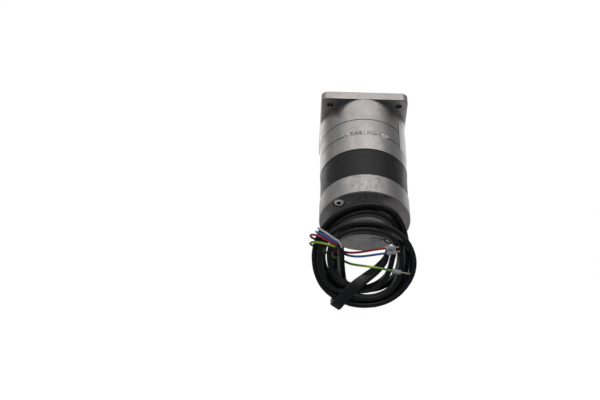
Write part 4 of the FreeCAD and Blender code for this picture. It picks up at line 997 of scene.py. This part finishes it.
def strand_solids(colour, line):
    """Fine bare strands wound round a core strand, out of the sleeve's end."""
    reach, droop = TIP_REACH[colour]
    ahead = (line[-1] - line[-4]).normalized()
    start = line[-1] + ahead * (SLEEVE_LENGTH - SLEEVE_OVERLAP - STRAND_INSIDE)
    side = steady_sides([start, start + ahead])[0]
    other = ahead.cross(side)
    steps = int(reach * STRAND_STEPS_PER_MM)
    solids = []
    for k in range(STRAND_COUNT + 1):
        path = []
        for i in range(steps + 1):
            share = i / steps
            here = start + ahead * (reach + STRAND_INSIDE) * share + OUT * droop * share ** 2
            if k < STRAND_COUNT:
                turn = 2 * math.pi * (k / STRAND_COUNT + share * reach / STRAND_TWIST)
                spread = 2 * STRAND_RADIUS * (1 + STRAND_SPLAY * share * math.sin(5 * k))
                here += (side * math.cos(turn) + other * math.sin(turn)) * spread
            path.append(here)
        solids.append(sweep(path, steady_sides(path), lambda i: circle(STRAND_RADIUS, STRAND_SIDES)))
    return solids


sleeves = joined([sleeve_solid(line) for line in wire_lines.values()])
collars = new_piece("crimp_sleeves", *sleeves[:2], LOOKS["sleeve_grey"], "sleeve_grey")
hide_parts("wire_sleeves")
strands = joined([solid for colour, line in wire_lines.items()
                  for solid in strand_solids(colour, line)])
tips = new_piece("bare_strands", *strands[:2], LOOKS["tinned_copper"], "tinned_copper")
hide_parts("wire_tips")


# ---------------------------------------------------------------- torn bead and gate stub
# how deep a strip's foot sits in the casing, and how thick it is below its surface
STRIP_SUNK = 0.05
STRIP_BODY = 0.35
# bumps in a strip's whole length: slow wandering, tears, and crumbs
WOBBLES = 9
TEARS = 34
CRUMBS = 60
TAPER = 14


def rough_strip(name, radius, middle, half_width, start, end, height, seed,
                steps=220, rows=8, arch=0.0, look=BROKEN):
    """A torn, crumbly strip lying on the round casing between two angles above +X.

    An arched strip starts and ends at the middle depth and runs further forward between.
    """
    vertices = []
    for i in range(steps + 1):
        share = i / steps
        angle = math.radians(start + (end - start) * share)
        outward = Vector((math.cos(angle), 0, math.sin(angle)))
        wobble = noise.noise(Vector((share * WOBBLES, seed, 0)))
        tear = 0.55 + 0.45 * noise.noise(Vector((share * TEARS, seed, 3)))
        taper = min(1.0, share * TAPER, (1 - share) * TAPER)
        for k in range(rows + 1):
            t = 2 * k / rows - 1
            crumb = noise.fractal(Vector((share * CRUMBS, t * 2.2, seed)), 0.9, 2.1, 4)
            rise = height * taper * tear * (1 - t * t) * (0.75 + 1.1 * crumb)
            y = middle + half_width * (t * (0.7 + 0.5 * tear) * taper + 0.5 * wobble)
            y += arch * (1 - (2 * share - 1) ** 4)
            y += 0.35 * half_width * crumb * taper
            above = radius - STRIP_SUNK + max(rise, -0.02)
            vertices.append(outward * above + Vector((0, y, 0)))
        for k in range(rows, -1, -1):
            last = vertices[-1 - 2 * (rows - k)]
            vertices.append(last - outward * STRIP_BODY)
    faces = tube_faces(steps + 1, 2 * (rows + 1))
    return new_piece(name, vertices, faces, look, "die_cast")


rough_strip("joint_bead", barrel_radius, shield_joint + 1.3, half_width=1.9, start=56, end=123.5,
            height=2.0, seed=4.0)
rough_strip("gate_stub", cap_radius, cap_face + 0.9, half_width=0.8, start=75, end=92.5,
            height=1.3, seed=9.0, steps=90, rows=6, arch=2.4, look=FLASH)


# ---------------------------------------------------------------- floor, light and camera
FLOOR_HALF = 3.0
FLOOR_GAP = 0.0002
FLOOR_BRIGHTNESS = 1.06
FLOOR_SHADOW = 0.08
FLOOR_FAR = 0.28
FLOOR_NEAR = 1.25
# where the floor's reflection begins and ends: metres aside, then along the shaft
FADE_ASIDE = (0.17, 0.05)
FADE_ALONG = (-0.17, -0.01)


def floor():
    """A pale floor: white to the camera with a faint contact shadow.

    What the object reflects of it is brightest beside the gearbox and falls off round it.
    """
    half = FLOOR_HALF
    mesh = bpy.data.meshes.new("floor")
    height = floor_height * MM - FLOOR_GAP
    mesh.from_pydata([(-half, -half, height), (half, -half, height),
                      (half, half, height), (-half, half, height)], [], [(0, 1, 2, 3)])
    made = bpy.data.objects.new("floor", mesh)
    bpy.context.scene.collection.objects.link(made)
    material = bpy.data.materials.new("studio_floor")
    material.use_nodes = True
    made.data.materials.append(material)
    look = Nodes(material.node_tree)
    look.tree.nodes.clear()
    matt = look.shader_node("ShaderNodeBsdfDiffuse", Color=(0.8, 0.8, 0.8))
    glow = look.shader_node("ShaderNodeEmission", Strength=FLOOR_BRIGHTNESS)
    seen = look.mix_shaders(FLOOR_SHADOW, glow, matt)
    place = look.split(look.node("ShaderNodeNewGeometry").outputs["Position"])
    aside = look.between(look.maths("ABSOLUTE", place["X"]), *FADE_ASIDE)
    along = look.between(place["Y"], *FADE_ALONG)
    near = look.maths("MULTIPLY", aside, look.maths("POWER", along, 3.0))
    brightness = look.maths("MULTIPLY_ADD", near, FLOOR_NEAR, FLOOR_FAR)
    reflected = look.shader_node("ShaderNodeEmission", Strength=brightness)
    ray = look.node("ShaderNodeLightPath").outputs
    surface = look.mix_shaders(ray["Is Camera Ray"], reflected, seen)
    look.link(surface, look.node("ShaderNodeOutputMaterial").inputs["Surface"])


# The ceiling is bright round this direction. The room is dim behind the camera, grey beyond.
CEILING = (0, 0.50, 0.866)
CEILING_EDGE = (0.62, 0.86)
CEILING_LIGHT = (1.12, 1.08, 1.06)
BEHIND_CAMERA = (0.075, 0.08, 0.085)
ROOM_LEFT = (0.52, 0.515, 0.51)
ROOM_RIGHT = (0.25, 0.256, 0.268)
ROOM_ASIDE = (-0.7, 0.7)
ROOM_ALONG = (-0.2, 0.75)
EVEN_LIGHT = (0.62, 0.63, 0.65)
WHITE = (1, 1, 1)


def surroundings():
    """White to the camera and even to matt surfaces, with a lit ceiling to reflect."""
    world = bpy.data.worlds.new("studio")
    bpy.context.scene.world = world
    world.use_nodes = True
    look = Nodes(world.node_tree)
    look.tree.nodes.clear()
    direction_seen = look.node("ShaderNodeTexCoord").outputs["Generated"]
    towards = look.node("ShaderNodeVectorMath", operation="DOT_PRODUCT")
    towards.inputs[1].default_value = CEILING
    look.link(direction_seen, towards.inputs[0])
    place = look.split(direction_seen)
    beyond = look.mix(look.between(place["X"], *ROOM_ASIDE), ROOM_LEFT, ROOM_RIGHT)
    room = look.mix(look.between(place["Y"], *ROOM_ALONG), BEHIND_CAMERA, beyond)
    above = look.between(towards.outputs["Value"], *CEILING_EDGE)
    lit = look.shader_node("ShaderNodeBackground", Color=look.mix(above, room, CEILING_LIGHT))
    even = look.shader_node("ShaderNodeBackground", Color=EVEN_LIGHT)
    white = look.shader_node("ShaderNodeBackground", Color=WHITE)
    ray = look.node("ShaderNodeLightPath").outputs
    by_ray = look.mix_shaders(ray["Is Diffuse Ray"], lit, even)
    surface = look.mix_shaders(ray["Is Camera Ray"], by_ray, white)
    look.link(surface, look.node("ShaderNodeOutputWorld").inputs["Surface"])


def soft_box(name, place, aim, width, depth, watts):
    """A large soft lamp at place, turned to aim."""
    data = bpy.data.lights.new(name, "AREA")
    data.shape = "RECTANGLE"
    data.size = width
    data.size_y = depth
    data.energy = watts
    made = bpy.data.objects.new(name, data)
    made.location = place
    made.rotation_mode = "QUATERNION"
    made.rotation_quaternion = (Vector(aim) - Vector(place)).to_track_quat("-Z", "Y")
    bpy.context.scene.collection.objects.link(made)


CAMERA_AIM = Vector((-53.8, -56.4, -42.8))
CAMERA_DISTANCE = 1172.0
CAMERA_AZIMUTH = math.radians(-0.87)
CAMERA_ELEVATION = math.radians(48.48)
CAMERA_ROLL = math.radians(2.16)
CAMERA_LENS = 79.02
CAMERA_SENSOR = 36.0


def camera():
    """A long lens looking down on the rear of the motor from straight behind it."""
    back = Vector((math.sin(CAMERA_AZIMUTH) * math.cos(CAMERA_ELEVATION),
                   -math.cos(CAMERA_AZIMUTH) * math.cos(CAMERA_ELEVATION),
                   math.sin(CAMERA_ELEVATION)))
    right = (-back).cross(Vector((0, 0, 1))).normalized()
    up = right.cross(-back)
    tilted_right = right * math.cos(CAMERA_ROLL) + up * math.sin(CAMERA_ROLL)
    tilted_up = up * math.cos(CAMERA_ROLL) - right * math.sin(CAMERA_ROLL)
    data = bpy.data.cameras.new("camera")
    data.lens = CAMERA_LENS
    data.sensor_width = CAMERA_SENSOR
    made = bpy.data.objects.new("camera", data)
    turn = Matrix((tilted_right, tilted_up, back)).transposed().to_4x4()
    made.matrix_world = Matrix.Translation((CAMERA_AIM + back * CAMERA_DISTANCE) * MM) @ turn
    bpy.context.scene.collection.objects.link(made)
    bpy.context.scene.camera = made


floor()
surroundings()
soft_box("ceiling_lamp", place=(0.0, 0.30, 0.95), aim=(0, -0.06, 0), width=0.6, depth=0.4,
         watts=1.6)
camera()
bpy.context.scene.view_settings.view_transform = "Standard"
